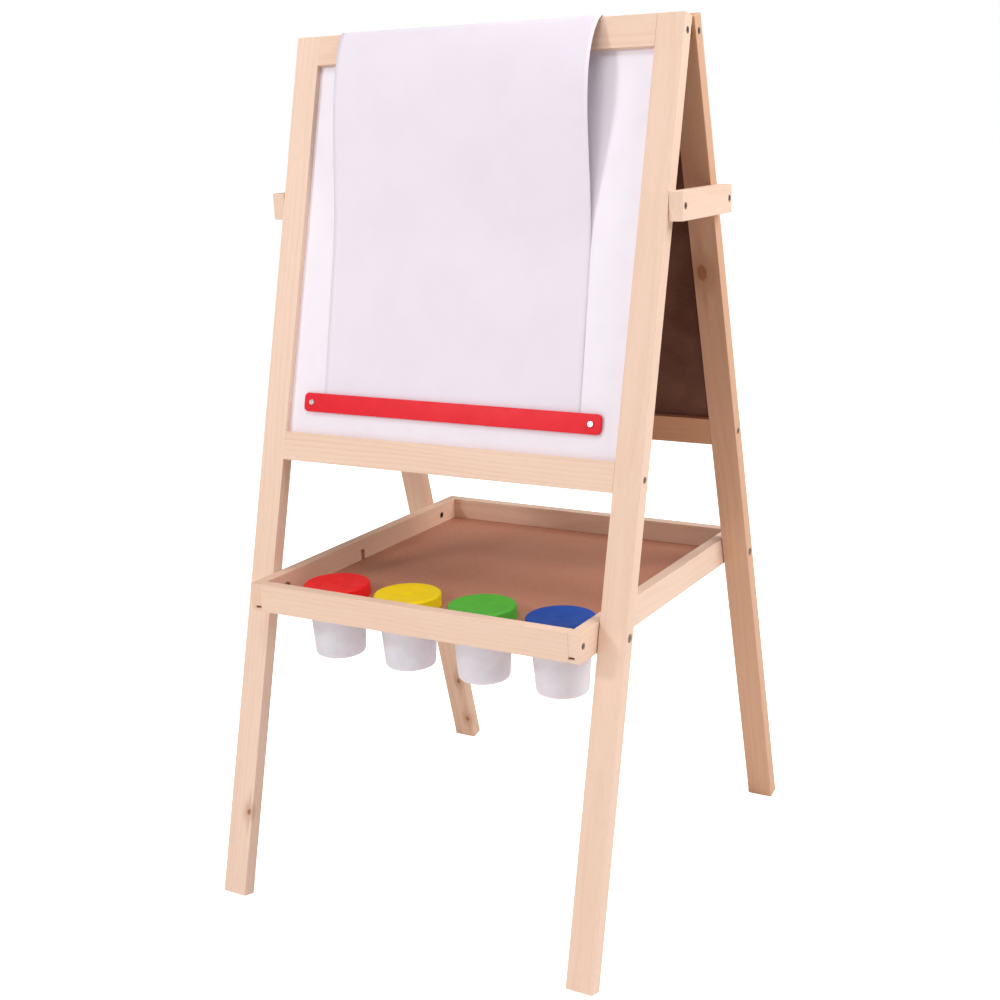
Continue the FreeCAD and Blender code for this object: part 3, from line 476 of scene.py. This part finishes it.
def wood_finish(name, centre, grain, heart, knots, contrast, tone):
    """Sanded pale timber whose growth rings run along the piece; a tone well below 1 darkens and warms it as
    painted shade.
    """
    settings = bpy.context.scene.easel_timber
    material, tree, shader = new_material(name, Coat_Weight=0.06, Coat_Roughness=0.35,
                                          Specular_IOR_Level=0.35)
    turn = grain.rotation_difference(UP).to_euler()
    place = object_place(tree, centre, turn)
    light, dark = [[channel * tone ** warmth for channel, warmth in zip(colour, WARMTH)]
                   for colour in (settings.light_wood, settings.dark_wood)]
    timber = placed(tree, shared("Sawn timber", timber_effect), Vector=place, Heart=heart,
                    Ring_Width=settings.ring_width, Light=(*light, 1), Dark=(*dark, 1), Contrast=contrast)
    colour = timber["Color"]
    for knot_place, radius in knots:
        knot = placed(tree, shared("Knot", knot_effect), Vector=place, Place=knot_place, Radius=radius,
                      Color=colour, Knot_Color=(*settings.knot_wood, 1))
        colour = knot["Color"]
    join(tree, colour, shader.inputs["Base Color"])
    join(tree, timber["Roughness"], shader.inputs["Roughness"])
    bumped(tree, shader, timber["Height"], 0.00012, 0.5)
    return material


def face_mask(tree, place, out, middle):
    """1 on the outer face of a thin leaning board and 0 on its back."""
    along = node(tree, "ShaderNodeVectorMath", operation="DOT_PRODUCT")
    join(tree, place, along.inputs[0])
    along.inputs[1].default_value = out
    return ranged(tree, along.outputs["Value"], middle - 0.0005, middle + 0.0005)


def hardboard_finish(name):
    """Bare brown hardboard all over."""
    material, tree, shader = new_material(name, Specular_IOR_Level=0.4)
    board = placed(tree, shared("Hardboard", hardboard_effect), Vector=object_place(tree),
                   Base=(*bpy.context.scene.easel_boards.hardboard, 1))
    join(tree, board["Color"], shader.inputs["Base Color"])
    join(tree, board["Roughness"], shader.inputs["Roughness"])
    bumped(tree, shader, board["Height"], 0.00015, 0.4)
    return material


def whiteboard_finish(name, out, middle):
    """A smooth white face on brown hardboard."""
    settings = bpy.context.scene.easel_boards
    material, tree, shader = new_material(name, Specular_IOR_Level=0.28)
    place = object_place(tree)
    mask = face_mask(tree, place, out, middle)
    board = placed(tree, shared("Hardboard", hardboard_effect), Vector=place, Base=(*settings.hardboard, 1))
    wear = placed(tree, shared("Handling wear", wear_effect), Vector=place, Scale=1.0)
    grey = [channel * 0.93 for channel in settings.whiteboard]
    face = blended(tree, ranged(tree, wear["Smudge"], 0.45, 0.8, 0.0, 0.5), settings.whiteboard, grey)
    join(tree, blended(tree, mask, board["Color"], face), shader.inputs["Base Color"])
    smooth = maths(tree, "ADD", ranged(tree, wear["Smudge"], 0.3, 0.7, 0.34, 0.46),
                   maths(tree, "MULTIPLY", wear["Scratch"], 0.12))
    gap = maths(tree, "SUBTRACT", smooth, board["Roughness"])
    join(tree, maths(tree, "ADD", board["Roughness"], maths(tree, "MULTIPLY", gap, mask)),
         shader.inputs["Roughness"])
    rough_back = maths(tree, "MULTIPLY", board["Height"], maths(tree, "SUBTRACT", 1.0, mask))
    bumped(tree, shader, rough_back, 0.00015, 0.4)
    return material


def chalkboard_finish(name, out, middle):
    """Chalkboard paint with wiped chalk dust outside; bare hardboard inside, darkened as painted shade."""
    settings = bpy.context.scene.easel_boards
    material, tree, shader = new_material(name, Specular_IOR_Level=0.3)
    place = object_place(tree)
    mask = face_mask(tree, place, out, middle)
    # The bare inner side takes the darker hardboard colour, which is painted shade for the inside between
    # the frames.
    board = placed(tree, shared("Hardboard", hardboard_effect), Vector=place,
                   Base=(*settings.shaded_inner_hardboard, 1))
    swipes = stretched_noise(tree, place, (7, 20, 26), detail=6, roughness=0.65, distortion=0.8)
    dust = maths(tree, "MULTIPLY", ranged(tree, swipes, 0.42, 0.78), 0.13)
    tooth = stretched_noise(tree, place, (1500, 1500, 1500), detail=2)
    dusty = maths(tree, "MULTIPLY", dust, ranged(tree, tooth, 0.35, 0.65, 0.6, 1.0))
    face = blended(tree, dusty, settings.chalkboard, (0.62, 0.63, 0.60))
    join(tree, blended(tree, mask, board["Color"], face), shader.inputs["Base Color"])
    dull = ranged(tree, swipes, 0.3, 0.7, 0.72, 0.9)
    gap = maths(tree, "SUBTRACT", dull, board["Roughness"])
    join(tree, maths(tree, "ADD", board["Roughness"], maths(tree, "MULTIPLY", gap, mask)),
         shader.inputs["Roughness"])
    bumped(tree, shader, tooth, 0.00008, 0.5)
    return material


def paper_finish(name, wound=False):
    """Plain drawing paper; wound paper shows the edges of its turns at the ends."""
    settings = bpy.context.scene.easel_paper
    material, tree, shader = new_material(name, Specular_IOR_Level=0.2)
    place = object_place(tree)
    pulp = stretched_noise(tree, place, (420, 420, 420), detail=5, roughness=0.65)
    cloud = stretched_noise(tree, place, (14, 14, 14), detail=3)
    shade = [channel * 0.95 for channel in settings.colour]
    colour = blended(tree, ranged(tree, cloud, 0.35, 0.7, 0.0, 0.5), settings.colour, shade)
    if wound:
        centre = object_place(tree, tuple(joint_place("paper_roll_turn")))
        flat = node(tree, "ShaderNodeMapping", Scale=(0, 1, 1))
        join(tree, centre, flat.inputs["Vector"])
        radius = node(tree, "ShaderNodeVectorMath", operation="LENGTH")
        join(tree, flat.outputs[0], radius.inputs[0])
        turns = maths(tree, "FRACT", maths(tree, "MULTIPLY", radius.outputs["Value"], 2600))
        colour = blended(tree, ranged(tree, turns, 0.6, 0.9, 0.0, 0.25), colour, (0.5, 0.47, 0.5))
    join(tree, colour, shader.inputs["Base Color"])
    join(tree, ranged(tree, pulp, 0.3, 0.7, 0.78, 0.9), shader.inputs["Roughness"])
    bumped(tree, shader, pulp, 0.00006, 0.35)
    return material


def plastic_finish(name, colour, roughness, specular, **values):
    """Moulded plastic with faint handling marks."""
    material, tree, shader = new_material(name, Specular_IOR_Level=specular, **values)
    place = object_place(tree)
    wear = placed(tree, shared("Handling wear", wear_effect), Vector=place, Scale=2.0)
    deeper = [channel * 0.88 for channel in colour]
    join(tree, blended(tree, ranged(tree, wear["Smudge"], 0.35, 0.75, 0.0, 0.6), colour, deeper),
         shader.inputs["Base Color"])
    gloss = ranged(tree, wear["Smudge"], 0.3, 0.7, roughness - 0.04, roughness + 0.07)
    join(tree, maths(tree, "ADD", gloss, maths(tree, "MULTIPLY", wear["Scratch"], 0.15)),
         shader.inputs["Roughness"])
    skin = stretched_noise(tree, place, (1800, 1800, 1800), detail=2)
    bumped(tree, shader, skin, 0.00003, 0.3)
    return material


def metal_finish(name, colour, roughness):
    """Plated metal with fine marks and duller patches."""
    material, tree, shader = new_material(name, Metallic=0.9)
    place = object_place(tree)
    wear = placed(tree, shared("Handling wear", wear_effect), Vector=place, Scale=9.0)
    dull = [channel * 0.7 for channel in colour]
    join(tree, blended(tree, ranged(tree, wear["Smudge"], 0.35, 0.7), colour, dull),
         shader.inputs["Base Color"])
    join(tree, ranged(tree, wear["Smudge"], 0.3, 0.7, roughness - 0.08, roughness + 0.15),
         shader.inputs["Roughness"])
    bumped(tree, shader, wear["Scratch"], 0.00004, 0.3)
    return material


def card_finish(name):
    """Grey-brown cardboard of the roll's core."""
    material, tree, shader = new_material(name, Specular_IOR_Level=0.2)
    place = object_place(tree)
    fibres = stretched_noise(tree, place, (300, 900, 900), detail=5, roughness=0.7)
    join(tree, blended(tree, ranged(tree, fibres, 0.3, 0.7), (0.50, 0.38, 0.27), (0.36, 0.26, 0.18)),
         shader.inputs["Base Color"])
    join(tree, ranged(tree, fibres, 0.3, 0.7, 0.75, 0.92), shader.inputs["Roughness"])
    bumped(tree, shader, fibres, 0.0001, 0.4)
    return material


def dress(node_name, material):
    """Give a CAD node a better material in its own slots."""
    part = frame["nodes"][node_name]
    for slot in part.material_slots:
        slot.material = material
    if not part.material_slots:
        part.data.materials.append(material)


# ---------------------------------------------------------------- meshes

def finished(name, mesh, material, smooth=True):
    """An object at the origin from a finished bmesh."""
    data = bpy.data.meshes.new(name)
    mesh.to_mesh(data)
    mesh.free()
    data.materials.append(material)
    data.shade_smooth() if smooth else data.shade_flat()
    piece = bpy.data.objects.new(name, data)
    bpy.context.scene.collection.objects.link(piece)
    return piece


SPIN_STEPS = 72


def spun(profile):
    """A closed shell turned about Z from (radius, height) points, with its poles merged."""
    mesh = bmesh.new()
    corners = [mesh.verts.new((radius, 0, height)) for radius, height in profile]
    edges = [mesh.edges.new(pair) for pair in zip(corners, corners[1:])]
    bmesh.ops.spin(mesh, geom=corners + edges, cent=(0, 0, 0), axis=UP, angle=math.tau, steps=SPIN_STEPS,
                   use_merge=True)
    bmesh.ops.remove_doubles(mesh, verts=mesh.verts, dist=1e-6)
    bmesh.ops.recalc_face_normals(mesh, faces=mesh.faces)
    return mesh


ARC_STEPS = 5
SLOPE_STEPS = 8


def eased_profile(points, radii):
    """The profile with each corner that has a radius turned into a short arc."""
    rounded = []
    for index, point in enumerate(points):
        radius = radii.get(index, 0)
        here = Vector(point)
        if not radius:
            rounded.append(here)
            continue
        before = (Vector(points[index - 1]) - here).normalized()
        after = (Vector(points[(index + 1) % len(points)]) - here).normalized()
        half = before.angle(after) / 2
        reach = radius / math.tan(half)
        centre = here + (before + after).normalized() * (radius / math.sin(half))
        first = here + before * reach - centre
        last = here + after * reach - centre
        turn = first.angle_signed(last)
        for step in range(ARC_STEPS + 1):
            angle = -turn * step / ARC_STEPS
            rounded.append(centre + Matrix.Rotation(angle, 2) @ first)
    return rounded


# ---------------------------------------------------------------- timber

LEG_KNOTS = {
    "front_left_leg": [((0.012, -0.009, -0.435), 0.0042)],
    "rear_right_leg": [((-0.0056, -0.009, 0.244), 0.0082)],
    "rear_left_leg": [((0.008, -0.009, -0.437), 0.0045), ((0.0105, -0.009, -0.508), 0.0045)],
}
# Tones below 1 for wooden parts at the back and inside the frames: painted shade, darker and warmer where
# these parts stand in shade.
PAINTED_SHADE_TONES = {"rear_bottom_rail": 0.74, "rear_right_leg": 0.82, "rear_left_leg": 0.93, "tray_left_rail": 0.95}
HEART_REACH = 0.045
HEART_LIFT = 0.01
HEART_TURN = 2.4
HEART_STEP = 0.37
PLAIN_CONTRAST = 0.14


def timber_list(lean):
    """Every wooden node with the direction of its grain."""
    front_down = frame_axes(-1, lean)[0]
    rear_down = frame_axes(1, lean)[0]
    grains = {}
    for hand in ("left", "right"):
        grains[f"front_{hand}_leg"] = -front_down
        grains[f"rear_{hand}_leg"] = -rear_down
        grains[f"{hand}_bar"] = ALONG_Y
        grains[f"tray_{hand}_rail"] = ALONG_Y
        grains[f"roll_bracket_{hand}"] = -front_down
    for where in ("front_top", "front_bottom", "rear_top", "rear_bottom", "tray_front", "tray_rear"):
        grains[f"{where}_rail"] = ALONG_X
    grains["roll_dowel"] = ALONG_X
    return grains


class EASEL_OT_timber(bpy.types.Operator):
    """Give every wooden part its own grain"""

    bl_idname = "easel.timber"
    bl_label = "Timber"

    def execute(self, context):
        lean = context.scene.easel_timber.lean
        for number, (name, grain) in enumerate(sorted(timber_list(lean).items())):
            angle = HEART_TURN * number
            heart = (HEART_REACH * math.cos(angle), HEART_REACH * math.sin(angle) + HEART_LIFT,
                     HEART_STEP * number)
            # Parts listed above get a painted shade tone; the rest vary their tone slightly at random.
            tone = PAINTED_SHADE_TONES.get(name, 1.0 + 0.012 * math.sin(1.7 * number))
            contrast = PLAIN_CONTRAST if grain == ALONG_Y else 0.26 + 0.08 * math.cos(2.1 * number)
            material = wood_finish(f"wood_{name}", box_middle(name), grain, heart, LEG_KNOTS.get(name, ()),
                                   contrast, tone)
            dress(name, material)
        return {"FINISHED"}


# ---------------------------------------------------------------- boards

class EASEL_OT_boards(bpy.types.Operator):
    """Finish the whiteboard, the chalkboard and the tray's base"""

    bl_idname = "easel.boards"
    bl_label = "Boards"

    def execute(self, context):
        lean = context.scene.easel_timber.lean
        makers = {"whiteboard": (-1, whiteboard_finish), "chalkboard": (1, chalkboard_finish)}
        for name, (side, maker) in makers.items():
            out = frame_axes(side, lean)[1]
            dress(name, maker(f"{name}_face", out, box_middle(name).dot(out)))
        dress("tray_base", hardboard_finish("tray_hardboard"))
        return {"FINISHED"}


# ---------------------------------------------------------------- paper

UP_SHARE = 0.36
OVER_SHARE = 0.42
BELLY_SHARE = 0.76
FOLD_END = math.pi - 0.8
FOLD_SQUARENESS = 0.25
# The belly's curve is scaled so that it peaks at 1.
BELLY_SCALE = 5.34
BELLY_RISE = 0.8
RIPPLE = 0.0007
PAPER_GAP = 0.00035
RAIL_GAP = 0.005
FOLD_LIFT = 0.0075
BOARD_HALF = 0.0015
STRIP_TAIL = 0.003
SHEET_COLUMNS = 60


def eased_share(value):
    """A share that starts and ends gently."""
    value = min(max(value, 0.0), 1.0)
    return value * value * (3 - 2 * value)


def paper_run(lean):
    """Drops and depths that the paper passes on its way from the roll over the top rail to the strip."""
    down, out = frame_axes(-1, lean)
    corners = [vertex.co - HINGE for vertex in frame["nodes"]["front_top_rail"].data.vertices]
    drops = [corner.dot(down) for corner in corners]
    depths = [corner.dot(out) for corner in corners]
    low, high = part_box("paper_roll")
    axis = joint_place("paper_roll_turn") - HINGE
    return SimpleNamespace(
        rail_top=min(drops),
        rail_end=max(drops),
        middle=(min(depths) + max(depths)) / 2,
        half=(max(depths) - min(depths)) / 2 + PAPER_GAP * 2.5,
        start_drop=axis.dot(down),
        start_depth=axis.dot(out) + (high.y - low.y) / 2 + PAPER_GAP,
        centre=(low.x + high.x) / 2,
        width=high.x - low.x,
        board_depth=(BOARD_MIDDLE - HINGE).dot(out) + BOARD_HALF + PAPER_GAP,
        tail=(STRIP_MIDDLE - HINGE).dot(down) + STRIP_TAIL)


def sheet_place(settings, lean, run, across, along):
    """Where a point of the paper lies: across runs from -0.5 to 0.5 and along from the roll to the strip."""
    bulge = settings.left_bulge + (settings.bulge - settings.left_bulge) * eased_share(across + 0.5)
    fold_drop = run.rail_top + RAIL_GAP
    slide = 0.0
    if along < UP_SHARE:
        share = along / UP_SHARE
        drop = run.start_drop + (fold_drop - run.start_drop) * share
        rise = eased_share((run.start_drop - drop) / (run.start_drop - run.rail_end))
        depth = run.start_depth + (run.middle - run.half - run.start_depth) * rise
    elif along < OVER_SHARE:
        turn = FOLD_END * (along - UP_SHARE) / (OVER_SHARE - UP_SHARE)
        side = math.copysign(abs(math.cos(turn)) ** FOLD_SQUARENESS, -math.cos(turn))
        depth = run.middle + run.half * side
        drop = fold_drop - FOLD_LIFT * math.sin(turn) ** FOLD_SQUARENESS
    else:
        first_drop = fold_drop - FOLD_LIFT * math.sin(FOLD_END) ** FOLD_SQUARENESS
        first_depth = run.middle + run.half * abs(math.cos(FOLD_END)) ** FOLD_SQUARENESS
        if along < BELLY_SHARE:
            share = (along - OVER_SHARE) / (BELLY_SHARE - OVER_SHARE)
            drop = first_drop + (settings.landing - first_drop) * share
            stand = BELLY_SCALE * share ** BELLY_RISE * (1 - share) ** 2
            depth = first_depth + (run.board_depth - first_depth) * eased_share(share) + bulge * stand
        else:
            share = (along - BELLY_SHARE) / (1 - BELLY_SHARE)
            drop = settings.landing + (run.tail - settings.landing) * share
            ripple = noise.noise(Vector((across * 3.1, along * 9.0, 0.4)))
            depth = run.board_depth + RIPPLE * max(ripple, 0) * math.sin(math.pi * share)
        slide = settings.slant * (drop - first_drop) / (run.tail - first_drop)
    return on_frame(-1, lean, run.centre + slide + across * run.width, drop, depth)


class EASEL_OT_paper(bpy.types.Operator):
    """Lead the paper from its roll over the top rail and under the strip"""

    bl_idname = "easel.paper"
    bl_label = "Paper"

    def execute(self, context):
        settings = context.scene.easel_paper
        lean = context.scene.easel_timber.lean
        run = paper_run(lean)
        mesh = bmesh.new()
        bmesh.ops.create_grid(mesh, x_segments=SHEET_COLUMNS, y_segments=settings.steps, size=0.5)
        for vertex in mesh.verts:
            across, along = vertex.co.x, vertex.co.y + 0.5
            vertex.co = sheet_place(settings, lean, run, across, along)
        bmesh.ops.recalc_face_normals(mesh, faces=mesh.faces)
        mesh.verts.ensure_lookup_table()
        piece = finished("drawing_paper", mesh, paper_finish("drawing_paper"))
        wall = piece.modifiers.new("Thickness", "SOLIDIFY")
        wall.thickness = settings.thickness
        wall.offset = 0
        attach(piece, "front_frame")
        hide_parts("paper_sheet")
        dress("paper_roll", paper_finish("wound_paper", wound=True))
        dress("roll_core", card_finish("roll_card"))
        return {"FINISHED"}


# ---------------------------------------------------------------- strip and fittings

class EASEL_OT_strip(bpy.types.Operator):
    """Make the red strip with its rounded corners and edges"""

    bl_idname = "easel.strip"
    bl_label = "Strip"

    def execute(self, context):
        settings = context.scene.easel_trim
        lean = context.scene.easel_timber.lean
        down, out = frame_axes(-1, lean)
        corners = [vertex.co - STRIP_MIDDLE for vertex in frame["nodes"]["clamp_strip"].data.vertices]
        length = 2 * max(corner.x for corner in corners)
        thickness = 2 * max(corner.dot(out) for corner in corners)
        width = 2 * max(corner.dot(down) for corner in corners)
        mesh = bmesh.new()
        bmesh.ops.create_cube(mesh, size=1)
        bmesh.ops.scale(mesh, vec=(length, thickness, width), verts=mesh.verts)
        through = [edge for edge in mesh.edges
                   if abs((edge.verts[0].co - edge.verts[1].co).y) > thickness / 2]
        bmesh.ops.bevel(mesh, geom=through, offset=settings.corner, affect="EDGES", segments=8, profile=0.5,
                        material=-1)
        rims = [edge for edge in mesh.edges
                if abs((edge.verts[0].co - edge.verts[1].co).y) < thickness / 2]
        bmesh.ops.bevel(mesh, geom=rims, offset=settings.edge, affect="EDGES", segments=3, profile=0.5,
                        material=-1)
        turn = Matrix.Rotation(-lean, 4, "X")
        bmesh.ops.transform(mesh, matrix=Matrix.Translation(STRIP_MIDDLE) @ turn, verts=mesh.verts)
        bmesh.ops.recalc_face_normals(mesh, faces=mesh.faces)
        piece = finished("red_strip", mesh, plastic_finish("strip_plastic", settings.strip, 0.44, 0.2))
        piece.data.set_sharp_from_angle(angle=math.radians(40))
        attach(piece, "front_frame")
        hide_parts("clamp_strip")
        return {"FINISHED"}


STEEL_NODES = (
    "front_rail_screws", "rear_rail_screws", "clamp_strip_nuts", "roll_bracket_screws", "bar_pivot_screws",
    "left_bar_screw", "right_bar_screw", "tray_corner_screws", "tray_front_bolts", "tray_rear_bolts",
    "tray_front_nuts", "tray_rear_inserts")
BRASS_NODES = (
    "front_hinge_leaves", "rear_hinge_leaves", "front_hinge_screws", "rear_hinge_screws", "hinge_pins")


class EASEL_OT_fittings(bpy.types.Operator):
    """Finish the screws, bolts, nuts and hinges"""

    bl_idname = "easel.fittings"
    bl_label = "Fittings"

    def execute(self, context):
        settings = context.scene.easel_trim
        steel = metal_finish("plated_steel", settings.steel, 0.38)
        brass = metal_finish("plated_brass", settings.brass, 0.3)
        bright = metal_finish("bright_steel", (0.80, 0.79, 0.78), 0.25)
        for name in STEEL_NODES:
            dress(name, steel)
        for name in BRASS_NODES:
            dress(name, brass)
        dress("clamp_strip_screws", bright)
        return {"FINISHED"}


# ---------------------------------------------------------------- paint pots

def cup_mesh(radius, height):
    """A tapered thin-walled cup that hangs by its flange, with a recessed foot and a neck for the lid."""
    wall = 0.0014
    rim_drop = 0.007
    side = radius - 0.0027
    foot = radius - 0.0081
    neck = radius - 0.0033
    shoulder = height - rim_drop
    points = [
        (0, 0.0016), (foot - 0.0095, 0.0016), (foot - 0.0078, 0), (foot, 0), (side, shoulder),
        (radius, shoulder), (radius, shoulder + 0.002), (neck, shoulder + 0.002), (neck, height),
        (neck - wall, height),
        (neck - wall, shoulder - 0.003), (side - wall - 0.001, shoulder - 0.008), (foot - wall, wall * 2.2),
        (0, wall * 2.2),
    ]
    radii = {1: 0.0008, 2: 0.001, 3: 0.0055, 5: 0.0006, 6: 0.0006, 8: 0.0005, 9: 0.0005, 12: 0.0045}
    return spun(eased_profile(points, radii))


def lid_mesh(radius, height):
    """A lid with a soft shallow dish, a dimple in its middle and a thin skirt."""
    wall = 0.0018
    dish = height - 0.0017
    underside = dish - 0.003
    first = radius * 0.38
    crest = radius - 0.0042
    slope = []
    for step in range(SLOPE_STEPS + 1):
        share = step / SLOPE_STEPS
        slope.append((first + (crest - first) * share, dish + (height - dish) * eased_share(share)))
    points = [
        (0, dish - 0.0008), (0.0035, dish - 0.0008), (0.006, dish), *slope, (radius, height), (radius, 0),
        (radius - wall, 0), (radius - wall, underside), (0, underside),
    ]
    shoulder = len(slope) + 3
    return spun(eased_profile(points, {1: 0.001, 2: 0.001, shoulder: 0.0028, shoulder + 2: 0.0004}))


class EASEL_OT_pots(bpy.types.Operator):
    """Make the four paint pots and their lids"""

    bl_idname = "easel.pots"
    bl_label = "Paint pots"

    def execute(self, context):
        settings = context.scene.easel_pots
        milky = plastic_finish("milky_plastic", settings.cup, 0.4, 0.35, Transmission_Weight=0.08, IOR=1.45,
                               Subsurface_Weight=0.4, Subsurface_Scale=0.012)
        for colour in COLOURS:
            lid_plastic = plastic_finish(f"{colour}_lid_plastic", getattr(settings, colour), 0.45, 0.22,
                                         Subsurface_Weight=0.08, Subsurface_Scale=0.004)
            pieces = {"cup": (cup_mesh, milky, "cup_clear", "pot_"),
                      "lid": (lid_mesh, lid_plastic, None, "lid_")}
            for kind, (maker, material, slot, body) in pieces.items():
                name = f"{kind}_{colour}"
                low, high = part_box(name)
                mesh = maker((high.x - low.x) / 2, high.z - low.z)
                foot = Vector(((low.x + high.x) / 2, (low.y + high.y) / 2, low.z))
                bmesh.ops.translate(mesh, vec=foot, verts=mesh.verts)
                piece = finished(f"paint_{kind}_{colour}", mesh, material)
                piece.data.set_sharp_from_angle(angle=math.radians(50))
                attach(piece, body + colour)
                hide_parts(name)
        return {"FINISHED"}


# ---------------------------------------------------------------- stage

def area_light(name, place, target, size, power):
    """A soft white square light that faces a point."""
    data = bpy.data.lights.new(name, "AREA")
    data.size = size
    data.energy = power
    light = bpy.data.objects.new(name, data)
    light.location = place
    light.rotation_euler = (Vector(target) - Vector(place)).to_track_quat("-Z", "Y").to_euler()
    bpy.context.scene.collection.objects.link(light)


def easel_camera(settings):
    """The camera, turned by its azimuth, elevation and roll."""
    data = bpy.data.cameras.new("Camera")
    data.sensor_width = 36
    data.lens = settings.lens
    camera = bpy.data.objects.new("Camera", data)
    azimuth, elevation = settings.azimuth, settings.elevation
    back = Vector((math.sin(azimuth) * math.cos(elevation), -math.cos(azimuth) * math.cos(elevation),
                   math.sin(elevation)))
    right = Vector((math.cos(azimuth), math.sin(azimuth), 0))
    turn = Matrix((right, back.cross(right), back)).transposed() @ Matrix.Rotation(settings.roll, 3, "Z")
    camera.matrix_world = Matrix.Translation(settings.stand) @ turn.to_4x4()
    bpy.context.scene.collection.objects.link(camera)
    bpy.context.scene.camera = camera


class EASEL_OT_stage(bpy.types.Operator):
    """Set up the floor, the light and the camera"""

    bl_idname = "easel.stage"
    bl_label = "Stage"

    def execute(self, context):
        settings = context.scene.easel_stage
        mesh = bmesh.new()
        bmesh.ops.create_grid(mesh, x_segments=1, y_segments=1, size=30)
        material, tree, shader = new_material("floor", Roughness=0.9, Specular_IOR_Level=0.1)
        shader.inputs["Base Color"].default_value = (*settings.floor_colour, 1)
        shader.inputs["Emission Color"].default_value = (1, 1, 1, 1)
        sight = node(tree, "ShaderNodeLightPath").outputs["Is Camera Ray"]
        join(tree, maths(tree, "MULTIPLY", sight, settings.floor_glow), shader.inputs["Emission Strength"])
        floor = finished("floor", mesh, material)
        world = bpy.data.worlds.new("studio")
        world.use_nodes = True
        background = world.node_tree.nodes["Background"]
        background.inputs["Color"].default_value = (1, 1, 1, 1)
        sight = node(world.node_tree, "ShaderNodeLightPath").outputs["Is Camera Ray"]
        beyond = maths(world.node_tree, "MULTIPLY", sight, 1 - settings.surround)
        strength = maths(world.node_tree, "ADD", beyond, settings.surround)
        join(world.node_tree, strength, background.inputs["Strength"])
        context.scene.world = world
        context.scene.view_settings.view_transform = "Standard"
        area_light("key", (-1.7, -2.7, 2.3), (0, 0, 0.6), 0.5, settings.key_power)
        area_light("side", (2.2, 0.3, 2.4), (0, 0, 0.5), 1.6, settings.side_power)
        area_light("top", (0.2, -1.4, 3.0), (0, -0.1, 0.4), 0.9, settings.top_power)
        area_light("back", (0.9, 2.0, 2.6), (0, 0, 0.4), 0.8, settings.back_power)
        area_light("fill", (-0.6, -2.5, 0.7), (0, 0, 0.45), 1.4, settings.fill_power)
        easel_camera(settings)
        return {"FINISHED"}


# ---------------------------------------------------------------- panel and registration

SETTINGS = {
    "easel_stage": EaselStageSettings,
    "easel_timber": EaselTimberSettings,
    "easel_boards": EaselBoardSettings,
    "easel_paper": EaselPaperSettings,
    "easel_pots": EaselPotSettings,
    "easel_trim": EaselTrimSettings,
}
OPERATORS = (
    EASEL_OT_timber, EASEL_OT_boards, EASEL_OT_paper, EASEL_OT_strip, EASEL_OT_fittings, EASEL_OT_pots,
    EASEL_OT_stage)


class EASEL_PT_panel(bpy.types.Panel):
    """Buttons and settings for each part of the easel"""

    bl_idname = "EASEL_PT_panel"
    bl_label = "Kids easel"
    bl_space_type = "VIEW_3D"
    bl_region_type = "UI"
    bl_category = "Easel"

    def draw(self, context):
        for operator in OPERATORS:
            self.layout.operator(operator.bl_idname)
        for name, group in SETTINGS.items():
            box = self.layout.box()
            box.label(text=group.__doc__)
            for label in group.__annotations__:
                box.prop(getattr(context.scene, name), label)


def register():
    for group in SETTINGS.values():
        bpy.utils.register_class(group)
    for operator in OPERATORS:
        bpy.utils.register_class(operator)
    bpy.utils.register_class(EASEL_PT_panel)
    for name, group in SETTINGS.items():
        setattr(bpy.types.Scene, name, PointerProperty(type=group))


def unregister():
    for name in SETTINGS:
        delattr(bpy.types.Scene, name)
    bpy.utils.unregister_class(EASEL_PT_panel)
    for operator in reversed(OPERATORS):
        bpy.utils.unregister_class(operator)
    for group in reversed(list(SETTINGS.values())):
        bpy.utils.unregister_class(group)


def main():
    """Make the whole easel."""
    register()
    for name in ("timber", "boards", "paper", "strip", "fittings", "pots", "stage"):
        getattr(bpy.ops.easel, name)()


if __name__ == "__main__":
    main()
